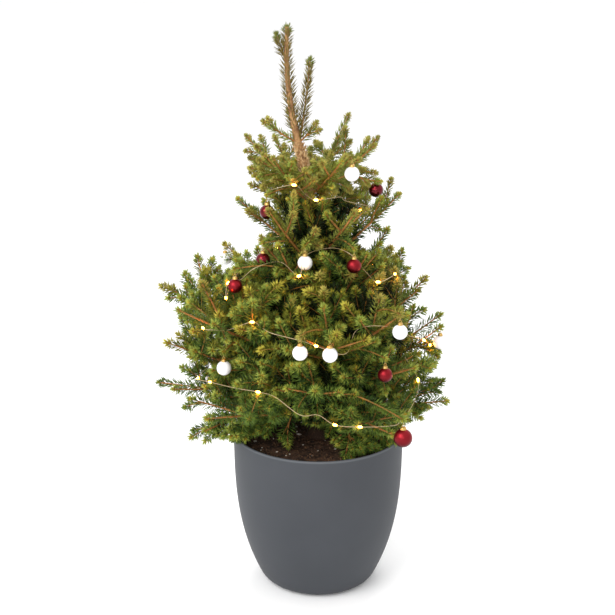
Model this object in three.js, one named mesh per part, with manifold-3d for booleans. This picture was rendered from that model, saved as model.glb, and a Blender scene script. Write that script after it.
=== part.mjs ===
// A young spruce in a round pot: pot, soil, trunk, boughs and masses of needles.
// Millimetres, +Z up. The origin is the middle of the pot's flat underside, and the front is -Y.
import * as THREE from "three";
import { mergeVertices } from "three/addons/utils/BufferGeometryUtils.js";
import Module from "manifold-3d";

const wasm = await Module();
wasm.setup();

// Fit between neighbouring pieces, and the distance under which two corners are one
const gap = 0.3;
const oneCorner = 1e-3;

// Pot: its wall swells from the low radius to the rim, and a rounded foot leads to the underside
const potHeight = 226;
const potRimRadius = 120;
const potLowRadius = 78;
const potBelly = 3;
const potFootRadius = 63;
const potFootRise = 12;
const potWall = 4.5;
const potFloor = 5;
const potSides = 32;
const potSteps = 5;
const potFootSteps = 2;
const potRimSteps = 3;
const potInsideSteps = 3;

// Soil: it rises a little towards a level patch that the trunk stands on
const soilBelowRim = 14;
const soilMound = 4;
const soilHalfwayRise = 0.7;
const soilPatchMargin = 2;
const soilHeight = potHeight - soilBelowRim;

// Trunk: a straight foot with a root flare, bending to the left under its fork
const trunkFoot = soilHeight + soilMound + gap;
const forkHeight = 629;
const forkOffset = -26;
const forkBend = 4;
const trunkFootRadius = 11;
const trunkForkRadius = 5.4;
const flareRadius = 6;
const flareHeight = 20;
const trunkSides = 9;
const trunkRings = 12;

// Boughs end at this share of the way from the trunk to the furthest needles
const boughEnd = 0.4;
const boughRootRadius = 4.2;
const boughTipRadius = 2.9;
const boughSides = 6;
const boughRings = 3;

// Twigs and needles
const stemTipRadius = 1.3;
const twigRootRadius = 2.1;
const twigTipRadius = 1.1;
const twigSides = 3;
const fewestTwigSteps = 3;
const shortestTwig = 26;
const longestTwig = 82;
const needlePitch = 21;
const needleLength = 17;
const shortNeedle = 0.6;
const needleLean = THREE.MathUtils.degToRad(40);
const needleTurn = THREE.MathUtils.degToRad(43);
const budLength = 7;
const bareRoot = 11;
const bareStem = 0.27;

// Room that twigs and needles keep to other masses, to wood, to the pot's rim and to the soil
const twigClearance = 7;
const needleClearance = 1.2;
const limbClearance = 1.2;
const groundClearance = 2;
const rimOutside = 4;
const rimInside = 12;
const lowestNeedle = 150;
const needleProbes = [0.4, 0.7, 1];
const twigProbes = 6;

// Tiers of boughs up the trunk. Reach is level distance from the trunk to the tip, skew lengthens
// the left side and shortens the right one, front shortens what points at the front, and arch lifts
// the middle of the path's control line.
const tiers = [
  { name: "skirt", count: 5, turn: -28, root: 238, tip: 224, reach: 168, skew: 0.05, front: 0.42, arch: 40 },
  { name: "low", count: 6, turn: -8, root: 256, tip: 292, reach: 198, skew: 0.09, front: 0.06, arch: 2 },
  { name: "middle", count: 6, turn: 20, root: 284, tip: 362, reach: 192, skew: 0.05, front: 0.04, arch: -8 },
  { name: "shoulder", count: 8, turn: 178, root: 320, tip: 440, reach: 186, skew: 0.15, front: 0, arch: -12 },
  { name: "waist", count: 5, turn: 18, root: 380, tip: 510, reach: 94, skew: -0.08, front: 0, arch: -10 },
  { name: "cone", count: 6, turn: 0, root: 466, tip: 560, reach: 106, skew: 0, front: 0, arch: -8 },
  { name: "upper", count: 6, turn: 0, root: 556, tip: 630, reach: 90, skew: 0, front: 0, arch: -8 },
];
const boughTiers = ["middle", "shoulder"];
const crownSeed = 6;
const seedsPerTier = 100;
const turnJitter = 9;
const reachJitter = 0.06;
const tipJitter = 12;
const rootStagger = 7;

// Space over the soil that stays open at the front. Its top climbs towards the front at this slope.
const openLeft = -64;
const openRight = 26;
const openBack = 6;
const openHeight = 231;
const openClimb = 0.42;

// Side twigs of a mass: places along its stem, with rolls about it measured from straight up
const boughNodes = [
  { at: 0.1, rolls: [84, -84] },
  { at: 0.48, rolls: [78, -78, 8] },
];
const trunkNodes = [
  { at: 0.36, rolls: [82, -82] },
  { at: 0.66, rolls: [72, -72] },
];
const twigAngle = 50;
const twigAngleJitter = 7;
const twigRollJitter = 10;
const twigShare = 0.62;
const twigShareJitter = 0.12;
const twigOvershoot = 1.14;
const twigCurve = 0.16;

// Leader above the fork, with a second head and the shoots round its foot
const leaderTip = new THREE.Vector3(-41.5, 0, 786);
const leaderBow = 13;
const leaderRootRadius = 5;
const leaderShoots = [
  { at: 0.02, turn: 10, angle: 26, length: 98 },
  { at: 0.03, turn: 178, angle: 50, length: 50 },
  { at: 0.03, turn: -15, angle: 62, length: 36 },
  { at: 0.05, turn: -105, angle: 55, length: 50 },
  { at: 0.05, turn: 95, angle: 55, length: 52 },
  { at: 0.72, turn: 165, angle: 24, length: 32 },
];

// Finishes
const finishes = {
  pot: { color: 0x4b4e52, roughness: 0.6, metalness: 0 },
  soil: { color: 0x2a2019, roughness: 0.95, metalness: 0 },
  bark: { color: 0x8a6a4a, roughness: 0.85, metalness: 0 },
  needles: { color: 0x4f7a3a, roughness: 0.6, metalness: 0 },
};

const { clamp, degToRad, lerp } = THREE.MathUtils;
const up = new THREE.Vector3(0, 0, 1);
const front = new THREE.Vector3(0, -1, 0);
const right = new THREE.Vector3(1, 0, 0);
const upright = 0.9;
const pottedTree = new THREE.Group();

function addPiece(name, geometry, finish) {
  const mesh = new THREE.Mesh(geometry, new THREE.MeshStandardMaterial(finishes[finish]));
  mesh.name = name;
  pottedTree.add(mesh);
}

function solidOf(geometry) {
  const bare = geometry.clone();
  bare.deleteAttribute("normal");
  bare.deleteAttribute("uv");
  const merged = mergeVertices(bare, oneCorner);
  const vertProperties = merged.attributes.position.array;
  const triVerts = new Uint32Array(merged.index.array);
  return new wasm.Manifold(new wasm.Mesh({ numProp: 3, vertProperties, triVerts }));
}

function geometryOf(solid) {
  const mesh = solid.getMesh();
  const geometry = new THREE.BufferGeometry();
  geometry.setAttribute("position", new THREE.BufferAttribute(mesh.vertProperties, 3));
  geometry.setIndex(new THREE.BufferAttribute(mesh.triVerts, 1));
  geometry.computeVertexNormals();
  return geometry;
}

// Drops the loose scraps of a cut and fills any hollow that joining has sealed.
function wholeBody(solid) {
  const bodies = solid.decompose().filter((body) => body.volume() > 0);
  return bodies.reduce((best, body) => (body.volume() > best.volume() ? body : best));
}

// A stream of numbers from 0 to 1 that is the same for the same seed.
function seeded(seed) {
  let state = seed;
  return () => {
    state = (state + 0x6d2b79f5) | 0;
    let t = Math.imul(state ^ (state >>> 15), state | 1);
    t ^= t + Math.imul(t ^ (t >>> 7), t | 61);
    return ((t ^ (t >>> 14)) >>> 0) / 4294967296;
  };
}

function jitter(random, amount) {
  return (random() * 2 - 1) * amount;
}

function taper(rootRadius, tipRadius) {
  return (share) => lerp(rootRadius, tipRadius, share);
}

// Points round a path at even steps, with a frame that doesn't roll about it
function ringsAlong(curve, from, to, steps, sides, radiusAt, turn = 0) {
  const rings = [];
  const frames = [];
  let across = null;
  for (let step = 0; step <= steps; step += 1) {
    const share = step / steps;
    const place = lerp(from, to, share);
    const centre = curve.getPoint(place);
    const along = curve.getTangent(place);
    const guide = across ?? (Math.abs(along.z) > upright ? right : up);
    across = guide.clone().addScaledVector(along, -guide.dot(along)).normalize();
    const beside = along.clone().cross(across);
    const ring = [];
    for (let side = 0; side < sides; side += 1) {
      const angle = (2 * Math.PI * side) / sides + step * turn;
      const outward = across.clone().multiplyScalar(Math.cos(angle));
      outward.addScaledVector(beside, Math.sin(angle));
      ring.push(centre.clone().addScaledVector(outward, radiusAt(share)));
    }
    rings.push(ring);
    frames.push({ centre, along });
  }
  return { rings, frames };
}

// Closed skin over rings of points. A needle stands on each side of the skin that has a tip, and a
// skin with a bud ends in a point.
function skinOf(rings, needleTips, bud) {
  const sides = rings[0].length;
  const points = rings.flat();
  const faces = [];
  for (let ring = 0; ring < rings.length - 1; ring += 1) {
    for (let side = 0; side < sides; side += 1) {
      const a = ring * sides + side;
      const b = ring * sides + ((side + 1) % sides);
      const c = b + sides;
      const d = a + sides;
      const tip = needleTips && needleTips[ring][side];
      if (tip) {
        points.push(tip);
        const apex = points.length - 1;
        faces.push(a, b, apex, b, c, apex, c, d, apex, d, a, apex);
      } else {
        faces.push(a, b, c, a, c, d);
      }
    }
  }
  for (let side = 1; side < sides - 1; side += 1) {
    faces.push(0, side + 1, side);
  }
  const last = (rings.length - 1) * sides;
  if (bud) {
    points.push(bud);
    for (let side = 0; side < sides; side += 1) {
      faces.push(last + side, last + ((side + 1) % sides), points.length - 1);
    }
  } else {
    for (let side = 1; side < sides - 1; side += 1) {
      faces.push(last, last + side, last + side + 1);
    }
  }
  const geometry = new THREE.BufferGeometry().setFromPoints(points);
  geometry.setIndex(faces);
  return geometry;
}

// Pot and soil: lathes that share the pot's inner wall
function potRadiusAt(height) {
  return potRimRadius - (potRimRadius - potLowRadius) * (1 - height / potHeight) ** potBelly;
}

function insideRadiusAt(height) {
  return potRadiusAt(height) - potWall;
}

function insideHeightAt(step) {
  return lerp(potFloor, potHeight - potWall / 2, step / potInsideSteps);
}

function latheOf(profile) {
  return new THREE.LatheGeometry(profile, potSides).rotateX(Math.PI / 2);
}

function potGeometry() {
  const footEdge = new THREE.Vector2(potFootRadius, 0);
  const footCorner = new THREE.Vector2(potRadiusAt(0), 0);
  const footTop = new THREE.Vector2(potRadiusAt(potFootRise), potFootRise);
  const foot = new THREE.QuadraticBezierCurve(footEdge, footCorner, footTop);
  const profile = [new THREE.Vector2(0, 0), ...foot.getPoints(potFootSteps)];
  for (let step = 1; step < potSteps; step += 1) {
    const height = lerp(potFootRise, potHeight - potWall / 2, step / potSteps);
    profile.push(new THREE.Vector2(potRadiusAt(height), height));
  }
  const rim = new THREE.Path();
  rim.absarc(potRimRadius - potWall / 2, potHeight - potWall / 2, potWall / 2, 0, Math.PI, false);
  profile.push(...rim.getPoints(potRimSteps));
  for (let step = potInsideSteps - 1; step >= 0; step -= 1) {
    const height = insideHeightAt(step);
    profile.push(new THREE.Vector2(insideRadiusAt(height), height));
  }
  profile.push(new THREE.Vector2(0, potFloor));
  return latheOf(profile);
}

function soilGeometry() {
  const profile = [new THREE.Vector2(0, potFloor + gap)];
  for (let step = 0; step < potInsideSteps; step += 1) {
    const height = insideHeightAt(step);
    profile.push(new THREE.Vector2(insideRadiusAt(height) - gap, height + gap));
  }
  const edge = insideRadiusAt(soilHeight);
  const patch = trunkFootRadius + flareRadius + soilPatchMargin;
  profile.push(new THREE.Vector2(edge - 2 * gap, soilHeight));
  profile.push(new THREE.Vector2(edge / 2, soilHeight + soilMound * soilHalfwayRise));
  profile.push(new THREE.Vector2(patch, soilHeight + soilMound));
  profile.push(new THREE.Vector2(0, soilHeight + soilMound));
  return latheOf(profile);
}

// Trunk, and the same trunk grown by the fit, for cutting limbs clear of it
function trunkAt(height) {
  const rise = clamp((height - trunkFoot) / (forkHeight - trunkFoot), 0, 1);
  return new THREE.Vector3(forkOffset * rise ** forkBend, 0, height);
}

function trunkRadiusAt(height) {
  const rise = (height - trunkFoot) / (forkHeight - trunkFoot);
  const flare = flareRadius * Math.exp(-(height - trunkFoot) / flareHeight);
  return lerp(trunkFootRadius, trunkForkRadius, rise) + flare;
}

class TrunkCurve extends THREE.Curve {
  getPoint(share) {
    return trunkAt(lerp(trunkFoot, forkHeight, share));
  }
}
const trunkCurve = new TrunkCurve();
const trunkTaper = (share) => trunkRadiusAt(lerp(trunkFoot, forkHeight, share));

function trunkGeometry(grow) {
  const radiusAt = (share) => trunkTaper(share) + grow;
  return skinOf(ringsAlong(trunkCurve, 0, 1, trunkRings, trunkSides, radiusAt).rings);
}

// Path of a bough and its mass, from the trunk's middle to the furthest needles
function boughPath(tier, index, random) {
  const turn = tier.turn + (360 * index) / tier.count + jitter(random, turnJitter);
  const azimuth = degToRad(turn);
  const side = 1 - tier.skew * Math.cos(azimuth);
  const depth = 1 - tier.front * Math.max(0, -Math.sin(azimuth));
  const reach = tier.reach * side * depth * (1 + jitter(random, reachJitter));
  const root = trunkAt(tier.root + (index % 2 ? rootStagger : -rootStagger));
  const tipHeight = tier.tip + jitter(random, tipJitter);
  const outward = new THREE.Vector3(Math.cos(azimuth), Math.sin(azimuth), 0);
  const middle = root.clone().addScaledVector(outward, reach / 2);
  middle.z = (root.z + tipHeight) / 2 + tier.arch;
  const tip = root.clone().addScaledVector(outward, reach);
  tip.z = tipHeight;
  return new THREE.QuadraticBezierCurve3(root, middle, tip);
}

// Side twig from a stem: angle is its lean away from the stem, roll its turn about the stem.
function twigPath(stem, at, roll, angle, length) {
  const root = stem.getPoint(at);
  const along = stem.getTangent(at);
  const guide = Math.abs(along.z) > upright ? front : up;
  const above = guide.clone().addScaledVector(along, -guide.dot(along)).normalize();
  const beside = along.clone().cross(above);
  const away = above.multiplyScalar(Math.cos(roll)).addScaledVector(beside, Math.sin(roll));
  const heading = along.clone().multiplyScalar(Math.cos(angle)).addScaledVector(away, Math.sin(angle));
  const middle = root.clone().addScaledVector(heading, length / 2);
  const tip = root.clone().addScaledVector(heading, length);
  tip.addScaledVector(along, length * twigCurve);
  return new THREE.QuadraticBezierCurve3(root, middle, tip);
}

function twigsOf(stem, from, nodes, random) {
  const stemLength = stem.getLength() * (1 - from);
  const twigs = [];
  for (const node of nodes) {
    for (const tilt of node.rolls) {
      const roll = degToRad(tilt + jitter(random, twigRollJitter));
      const angle = degToRad(twigAngle + jitter(random, twigAngleJitter));
      const share = twigShare * (twigOvershoot - node.at) * (1 + jitter(random, twigShareJitter));
      const length = clamp(stemLength * share, shortestTwig, longestTwig);
      twigs.push(twigPath(stem, lerp(from, 1, node.at), roll, angle, length));
    }
  }
  return twigs;
}

function leaderMass() {
  const root = trunkAt(forkHeight);
  root.z += gap;
  const middle = root.clone().lerp(leaderTip, 0.5);
  middle.x -= leaderBow;
  const path = new THREE.QuadraticBezierCurve3(root, middle, leaderTip);
  const twigs = leaderShoots.map((shoot) => {
    const roll = degToRad(90 + shoot.turn);
    return twigPath(path, shoot.at, roll, degToRad(shoot.angle), shoot.length);
  });
  return { name: "needles_leader", path, from: 0, rootRadius: leaderRootRadius, twigs };
}

function inFrontOpening(point) {
  const across = point.x > openLeft && point.x < openRight;
  return across && point.y < openBack && point.z < openHeight - openClimb * point.y;
}

// Skeleton: every limb, and every mass with its stem and the side twigs it would like to have. A bough
// that would end in the opening at the front is left out.
const limbs = [];
const masses = [];
tiers.forEach((tier, level) => {
  const onBough = boughTiers.includes(tier.name);
  for (let index = 0; index < tier.count; index += 1) {
    const random = seeded(crownSeed + seedsPerTier * level + index);
    const path = boughPath(tier, index, random);
    if (inFrontOpening(path.getPoint(1))) {
      continue;
    }
    const label = `${tier.name}_${index + 1}`;
    let from = 0;
    if (onBough) {
      limbs.push({ name: `bough_${label}`, path });
      from = boughEnd + gap / path.getLength();
    }
    const twigs = twigsOf(path, from, onBough ? boughNodes : trunkNodes, random);
    masses.push({ name: `needles_${label}`, path, from, rootRadius: boughTipRadius, twigs });
  }
});
masses.push(leaderMass());

// Straight pieces of a path, for measuring how far another path or a needle keeps from it
function segmentsOf(path, from, to, pieces, radiusAt) {
  const segments = [];
  for (let piece = 0; piece < pieces; piece += 1) {
    const start = path.getPoint(lerp(from, to, piece / pieces));
    const end = path.getPoint(lerp(from, to, (piece + 1) / pieces));
    segments.push({ line: new THREE.Line3(start, end), radius: radiusAt((piece + 0.5) / pieces) });
  }
  return segments;
}

function distanceTo(segments, point) {
  const nearest = new THREE.Vector3();
  return segments.reduce((least, segment) => {
    segment.line.closestPointToPoint(point, true, nearest);
    return Math.min(least, nearest.distanceTo(point) - segment.radius);
  }, Infinity);
}

function aboveGround(point) {
  if (inFrontOpening(point)) {
    return false;
  }
  const radius = Math.hypot(point.x, point.y);
  if (radius > potRimRadius + rimOutside) {
    return point.z > lowestNeedle;
  }
  const ground = radius > potRimRadius - rimInside ? potHeight : soilHeight + soilMound;
  return point.z > ground + groundClearance;
}

// A bough is measured from just outside the trunk.
const axisPieces = { trunk: 12, bough: 4, stem: 6, twig: 5 };
const boughStart = 0.08;
const thin = () => 0;
const woodSegments = segmentsOf(trunkCurve, 0, 1, axisPieces.trunk, trunkTaper);
for (const limb of limbs) {
  const boughTaper = taper(boughRootRadius, boughTipRadius);
  woodSegments.push(...segmentsOf(limb.path, boughStart, boughEnd, axisPieces.bough, boughTaper));
}
for (const mass of masses) {
  mass.axes = segmentsOf(mass.path, mass.from, 1, axisPieces.stem, thin);
}

// Side twigs are taken one by one, and one that would come too near another mass, a limb or the pot
// is skipped.
for (const mass of masses) {
  const others = masses.filter((other) => other !== mass);
  mass.shoots = mass.twigs.filter((twig) => {
    const points = twig.getPoints(twigProbes).slice(1);
    const free = points.every((point) => {
      const room = Math.min(...others.map((other) => distanceTo(other.axes, point)));
      const wood = distanceTo(woodSegments, point);
      return room > twigClearance && wood > twigRootRadius + limbClearance && aboveGround(point);
    });
    if (free) {
      mass.axes.push(...segmentsOf(twig, 0, 1, axisPieces.twig, thin));
    }
    return free;
  });
}

// A needle stays nearer to its own mass than to any other, and clear of wood, pot and soil.
function keepsToItself(foot, heading, length, mass, others) {
  return needleProbes.every((share) => {
    const probe = foot.clone().addScaledVector(heading, length * share);
    const own = distanceTo(mass.axes, probe);
    const clearOfWood = distanceTo(woodSegments, probe) > limbClearance;
    return own + needleClearance < distanceTo(others, probe) && clearOfWood && aboveGround(probe);
  });
}

// Needle tips on the sides of a twig past its bare steps, whole or shortened, or none
function needlesOn(rings, frames, mass, bareSteps) {
  const others = masses.filter((other) => other !== mass).flatMap((other) => other.axes);
  const lengths = [needleLength, needleLength * shortNeedle];
  const sides = rings[0].length;
  return rings.slice(0, -1).map((ring, step) =>
    ring.map((corner, side) => {
      if (step < bareSteps) {
        return null;
      }
      const next = rings[step + 1];
      const foot = corner.clone().add(ring[(side + 1) % sides]);
      foot.add(next[side]).add(next[(side + 1) % sides]).multiplyScalar(0.25);
      const middle = frames[step].centre.clone().lerp(frames[step + 1].centre, 0.5);
      const heading = foot.clone().sub(middle).normalize().multiplyScalar(Math.cos(needleLean));
      heading.addScaledVector(frames[step].along, Math.sin(needleLean));
      const fits = lengths.find((length) => keepsToItself(foot, heading, length, mass, others));
      return fits ? foot.clone().addScaledVector(heading, fits) : null;
    }),
  );
}

// A spray: a slim three-sided core that needles stand out of, with a bud at its tip
function sprayOf(path, from, rootRadius, tipRadius, bare, mass) {
  const length = path.getLength() * (1 - from);
  const steps = Math.max(fewestTwigSteps, Math.round(length / needlePitch));
  const radiusAt = taper(rootRadius, tipRadius);
  const { rings, frames } = ringsAlong(path, from, 1, steps, twigSides, radiusAt, needleTurn);
  const tips = needlesOn(rings, frames, mass, Math.ceil((bare / length) * steps));
  const end = frames[steps];
  const bud = end.centre.clone().addScaledVector(end.along, budLength);
  return skinOf(rings, tips, bud);
}

const clearOfTrunk = solidOf(trunkGeometry(gap));

function massGeometry(mass) {
  const bare = mass.from > 0 ? 0 : mass.path.getLength() * bareStem;
  let solid = solidOf(sprayOf(mass.path, mass.from, mass.rootRadius, stemTipRadius, bare, mass));
  for (const shoot of mass.shoots) {
    solid = solid.add(solidOf(sprayOf(shoot, 0, twigRootRadius, twigTipRadius, bareRoot, mass)));
  }
  return geometryOf(wholeBody(solid.subtract(clearOfTrunk)));
}

function boughGeometry(limb) {
  const radiusAt = taper(boughRootRadius, boughTipRadius);
  const skin = skinOf(ringsAlong(limb.path, 0, boughEnd, boughRings, boughSides, radiusAt).rings);
  return geometryOf(wholeBody(solidOf(skin).subtract(clearOfTrunk)));
}

addPiece("pot", potGeometry(), "pot");
addPiece("soil", soilGeometry(), "soil");
addPiece("trunk", trunkGeometry(0), "bark");
for (const limb of limbs) {
  addPiece(limb.name, boughGeometry(limb), "bark");
}
for (const mass of masses) {
  addPiece(mass.name, massGeometry(mass), "needles");
}

export default pottedTree;
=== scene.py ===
# Young spruce in a round pot, dressed with small baubles and a string of lights
import itertools
import math
import bpy
import numpy as np
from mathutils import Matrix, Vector, noise


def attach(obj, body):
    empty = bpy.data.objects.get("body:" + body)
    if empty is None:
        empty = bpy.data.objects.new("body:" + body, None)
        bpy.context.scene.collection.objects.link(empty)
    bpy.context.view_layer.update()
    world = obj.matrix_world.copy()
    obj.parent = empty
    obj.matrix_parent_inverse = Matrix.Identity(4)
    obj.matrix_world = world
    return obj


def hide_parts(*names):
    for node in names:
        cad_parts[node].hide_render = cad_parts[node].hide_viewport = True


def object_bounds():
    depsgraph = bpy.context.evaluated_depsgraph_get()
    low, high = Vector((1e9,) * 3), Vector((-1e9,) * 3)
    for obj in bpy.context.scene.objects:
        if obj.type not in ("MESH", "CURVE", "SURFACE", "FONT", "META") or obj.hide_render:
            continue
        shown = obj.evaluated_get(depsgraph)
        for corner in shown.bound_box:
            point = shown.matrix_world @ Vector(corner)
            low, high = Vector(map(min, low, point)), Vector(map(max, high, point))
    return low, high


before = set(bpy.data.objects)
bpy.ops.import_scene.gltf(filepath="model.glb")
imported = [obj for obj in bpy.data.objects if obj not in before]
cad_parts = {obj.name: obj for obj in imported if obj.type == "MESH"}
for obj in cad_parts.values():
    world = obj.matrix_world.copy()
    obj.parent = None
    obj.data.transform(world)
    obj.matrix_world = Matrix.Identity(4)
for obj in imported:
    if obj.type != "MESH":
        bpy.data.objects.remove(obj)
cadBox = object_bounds()
mm = 0.001  # shapes are worked out in millimetres and made in metres


def tint(red, green, blue):  # screen colour, 0 to 255, as the shader's linear colour
    def linear(level):
        level /= 255
        return level / 12.92 if level <= 0.04045 else ((level + 0.055) / 1.055) ** 2.4

    return (linear(red), linear(green), linear(blue), 1)


def unit(vectors):
    return vectors / np.linalg.norm(vectors, axis=-1, keepdims=True)


def lerp(first, last, share):
    return first + (last - first) * share


def ramp(value, low, high):  # 0 up to low, 1 from high on
    return min(1, max(0, (value - low) / (high - low)))


def newObject(name, data):  # linked to the scene
    made = bpy.data.objects.new(name, data)
    bpy.context.collection.objects.link(made)
    return made


# A socket that can be reckoned with, and the node trees of materials and of geometry
class Signal:
    def __init__(self, nodes, socket):
        self.nodes = nodes
        self.socket = socket

    def reckon(self, operation, first, second):
        return self.nodes.node("ShaderNodeMath", {"operation": operation}, {0: first, 1: second})

    def __add__(self, other):
        return self.reckon("ADD", self, other)

    def __radd__(self, other):
        return self.reckon("ADD", other, self)

    def __sub__(self, other):
        return self.reckon("SUBTRACT", self, other)

    def __rsub__(self, other):
        return self.reckon("SUBTRACT", other, self)

    def __mul__(self, other):
        return self.reckon("MULTIPLY", self, other)

    def __rmul__(self, other):
        return self.reckon("MULTIPLY", other, self)


class Nodes:
    def __init__(self, tree):
        self.tree = tree

    def feed(self, socket, value):
        if isinstance(value, Signal):
            self.tree.links.new(value.socket, socket)
        else:
            socket.default_value = value

    def node(self, kind, settings, sockets, output=0):
        made = self.tree.nodes.new(kind)
        for key, value in settings.items():
            setattr(made, key, value)
        for key, value in sockets.items():
            self.feed(made.inputs[key], value)
        return Signal(self, made.outputs[output])

    def vector(self, operation, first, second):
        second = {"Scale": second} if operation == "SCALE" else {1: second}
        return self.node("ShaderNodeVectorMath", {"operation": operation}, {0: first, **second})


class Finish(Nodes):
    def __init__(self, name, fixed):
        self.material = bpy.data.materials.new(name)
        self.material.use_nodes = True
        super().__init__(self.material.node_tree)
        self.shader = self.tree.nodes["Principled BSDF"]
        self.place = self.node("ShaderNodeTexCoord", {}, {}, "Object")
        self.show(fixed)

    def show(self, sockets):
        for key, value in sockets.items():
            self.feed(self.shader.inputs[key], value)

    def grain(self, scale, detail=2.0, rough=0.5):
        sockets = {"Vector": self.place, "Scale": scale, "Detail": detail, "Roughness": rough}
        return self.node("ShaderNodeTexNoise", {}, sockets)

    def between(self, value, low, high):  # 0 below low, 1 above high
        return self.node("ShaderNodeMapRange", {}, {"Value": value, "From Min": low, "From Max": high})

    def blend(self, share, first, second):
        return self.node("ShaderNodeMix", {"data_type": "RGBA"}, {0: share, 6: first, 7: second}, 2)

    def relief(self, height, strength, distance):
        sockets = {"Strength": strength, "Distance": distance, "Height": height}
        return self.node("ShaderNodeBump", {}, sockets)


def grained(name, fixed, grain, tints, rough, band=None, relief=None):  # finish with one grain all over
    finish = Finish(name, fixed)
    tone = finish.grain(*grain)
    share = finish.between(tone, *band) if band else tone
    finish.show({"Base Color": finish.blend(share, *tints), "Roughness": rough[0] + rough[1] * tone})
    if relief:
        finish.show({"Normal": finish.relief(tone, *relief)})
    return finish


class Rule(Nodes):  # a Geometry Nodes tree with named inputs
    def __init__(self, name, inputs):
        super().__init__(bpy.data.node_groups.new(name, "GeometryNodeTree"))
        sockets = self.tree.interface
        sockets.new_socket(name="Geometry", in_out="OUTPUT", socket_type="NodeSocketGeometry")
        sockets.new_socket(name="Geometry", in_out="INPUT", socket_type="NodeSocketGeometry")
        self.identifiers = {}
        for label, kind in {**inputs, "Finish": "Material"}.items():
            made = sockets.new_socket(name=label, in_out="INPUT", socket_type="NodeSocket" + kind)
            self.identifiers[label] = made.identifier
        self.given = self.tree.nodes.new("NodeGroupInput")

    def take(self, label):
        return Signal(self, self.given.outputs[label])

    def attribute(self, label, kind):
        return self.node("GeometryNodeInputNamedAttribute", {"data_type": kind}, {"Name": label})

    def chance(self, low, high, seed):
        sockets = {2: low, 3: high, "Seed": seed}
        return self.node("FunctionNodeRandomValue", {"data_type": "FLOAT"}, sockets, 1)

    def fan(self, first, second, angle):  # direction at an angle from the first towards the second
        ahead = self.node("ShaderNodeMath", {"operation": "COSINE"}, {0: angle})
        aside = self.node("ShaderNodeMath", {"operation": "SINE"}, {0: angle})
        return self.vector("ADD", self.vector("SCALE", first, ahead), self.vector("SCALE", second, aside))

    def close(self, geometry):  # realized, with its finish on
        real = self.node("GeometryNodeRealizeInstances", {}, {"Geometry": geometry})
        sockets = {"Geometry": real, "Material": self.take("Finish")}
        dressed = self.node("GeometryNodeSetMaterial", {}, sockets)
        self.feed(self.tree.nodes.new("NodeGroupOutput").inputs[0], dressed)

    def make(self, name, mesh, values, finish):  # plain mesh piece from a guide mesh
        guide = newObject(name + "Guide", mesh)
        growth = guide.modifiers.new("growth", "NODES")
        growth.node_group = self.tree
        for label, value in {**values, "Finish": finish.material}.items():
            growth[self.identifiers[label]] = value
        seen = guide.evaluated_get(bpy.context.evaluated_depsgraph_get())
        made = bpy.data.meshes.new_from_object(seen)
        guide.modifiers.remove(growth)
        bpy.data.objects.remove(guide)
        made.name = name
        return newObject(name, made)


# Meshes from arrays
class Joined:  # many small parts joined into one mesh
    def __init__(self):
        self.points = []
        self.faces = []
        self.count = 0

    def add(self, points, faces):
        self.points.append(points)
        self.faces += [[corner + self.count for corner in face] for face in faces]
        self.count += len(points)

    def make(self, name, finish, smooth=True):
        mesh = bpy.data.meshes.new(name)
        mesh.from_pydata((np.concatenate(self.points) * mm).tolist(), [], self.faces)
        mesh.polygons.foreach_set("use_smooth", [smooth] * len(mesh.polygons))
        mesh.materials.append(finish.material)
        return newObject(name, mesh)


def ringFaces(rings, sides):  # quads between rings of points, one ring after another
    step = np.arange(rings - 1)[:, None] * sides
    side = np.arange(sides)[None, :]
    after = (side + 1) % sides
    quads = np.stack([step + side, step + after, step + sides + after, step + sides + side], -1)
    return quads.reshape(-1, 4).tolist()


def closedFaces(rings, sides):  # with a fan on the first and the last ring, round the two points that follow
    low, high, last = rings * sides, rings * sides + 1, (rings - 1) * sides
    faces = ringFaces(rings, sides)
    faces += [[low, (side + 1) % sides, side] for side in range(sides)]
    faces += [[high, last + side, last + (side + 1) % sides] for side in range(sides)]
    return faces


def spun(profile, sides):  # turned closed shape; the profile runs from axis to axis, outside to the right
    profile = np.array(profile, float)
    turn = np.linspace(0, 2 * math.pi, sides, endpoint=False)
    radii, heights = profile[1:-1, 0], profile[1:-1, 1]
    rings = np.stack([np.outer(radii, np.cos(turn)), np.outer(radii, np.sin(turn)),
                      np.repeat(heights[:, None], sides, 1)], -1).reshape(-1, 3)
    ends = [[0, 0, profile[0, 1]], [0, 0, profile[-1, 1]]]
    return np.vstack([rings, ends]), closedFaces(len(radii), sides)


steep = 0.9  # a heading with this share of upright takes another guide


def sideways(along):  # a level direction across each heading
    guide = np.where(np.abs(along[..., 2:]) > steep, np.array([0.0, -1.0, 0.0]), np.array([0.0, 0.0, 1.0]))
    return unit(np.cross(along, guide))


def tube(centres, radii, sides, lumps=None, point=1.5):  # closed, with a pointed far end
    along = unit(np.gradient(centres, axis=0))
    across = sideways(along[:1])[0]
    frames = []
    for heading in along:  # carried on without rolling
        across = unit(across - heading * (across @ heading))
        frames.append((across, np.cross(heading, across)))
    frames = np.array(frames)[:, None]
    turn = np.linspace(0, 2 * math.pi, sides, endpoint=False)
    outward = frames[:, :, 0] * np.cos(turn)[None, :, None] + frames[:, :, 1] * np.sin(turn)[None, :, None]
    reach = np.repeat(np.asarray(radii, float)[:, None], sides, 1)
    if lumps is not None:
        reach = reach + lumps(centres[:, None] + outward * reach[..., None], turn, reach)
    rings = (centres[:, None] + outward * reach[..., None]).reshape(-1, 3)
    tip = centres[-1] + along[-1] * radii[-1] * point
    return np.vstack([rings, centres[:1], [tip]]), closedFaces(len(centres), sides)


def settle(piece, slot, nodes=()):
    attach(piece, "root")
    if nodes:
        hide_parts(*nodes)
    return piece


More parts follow.
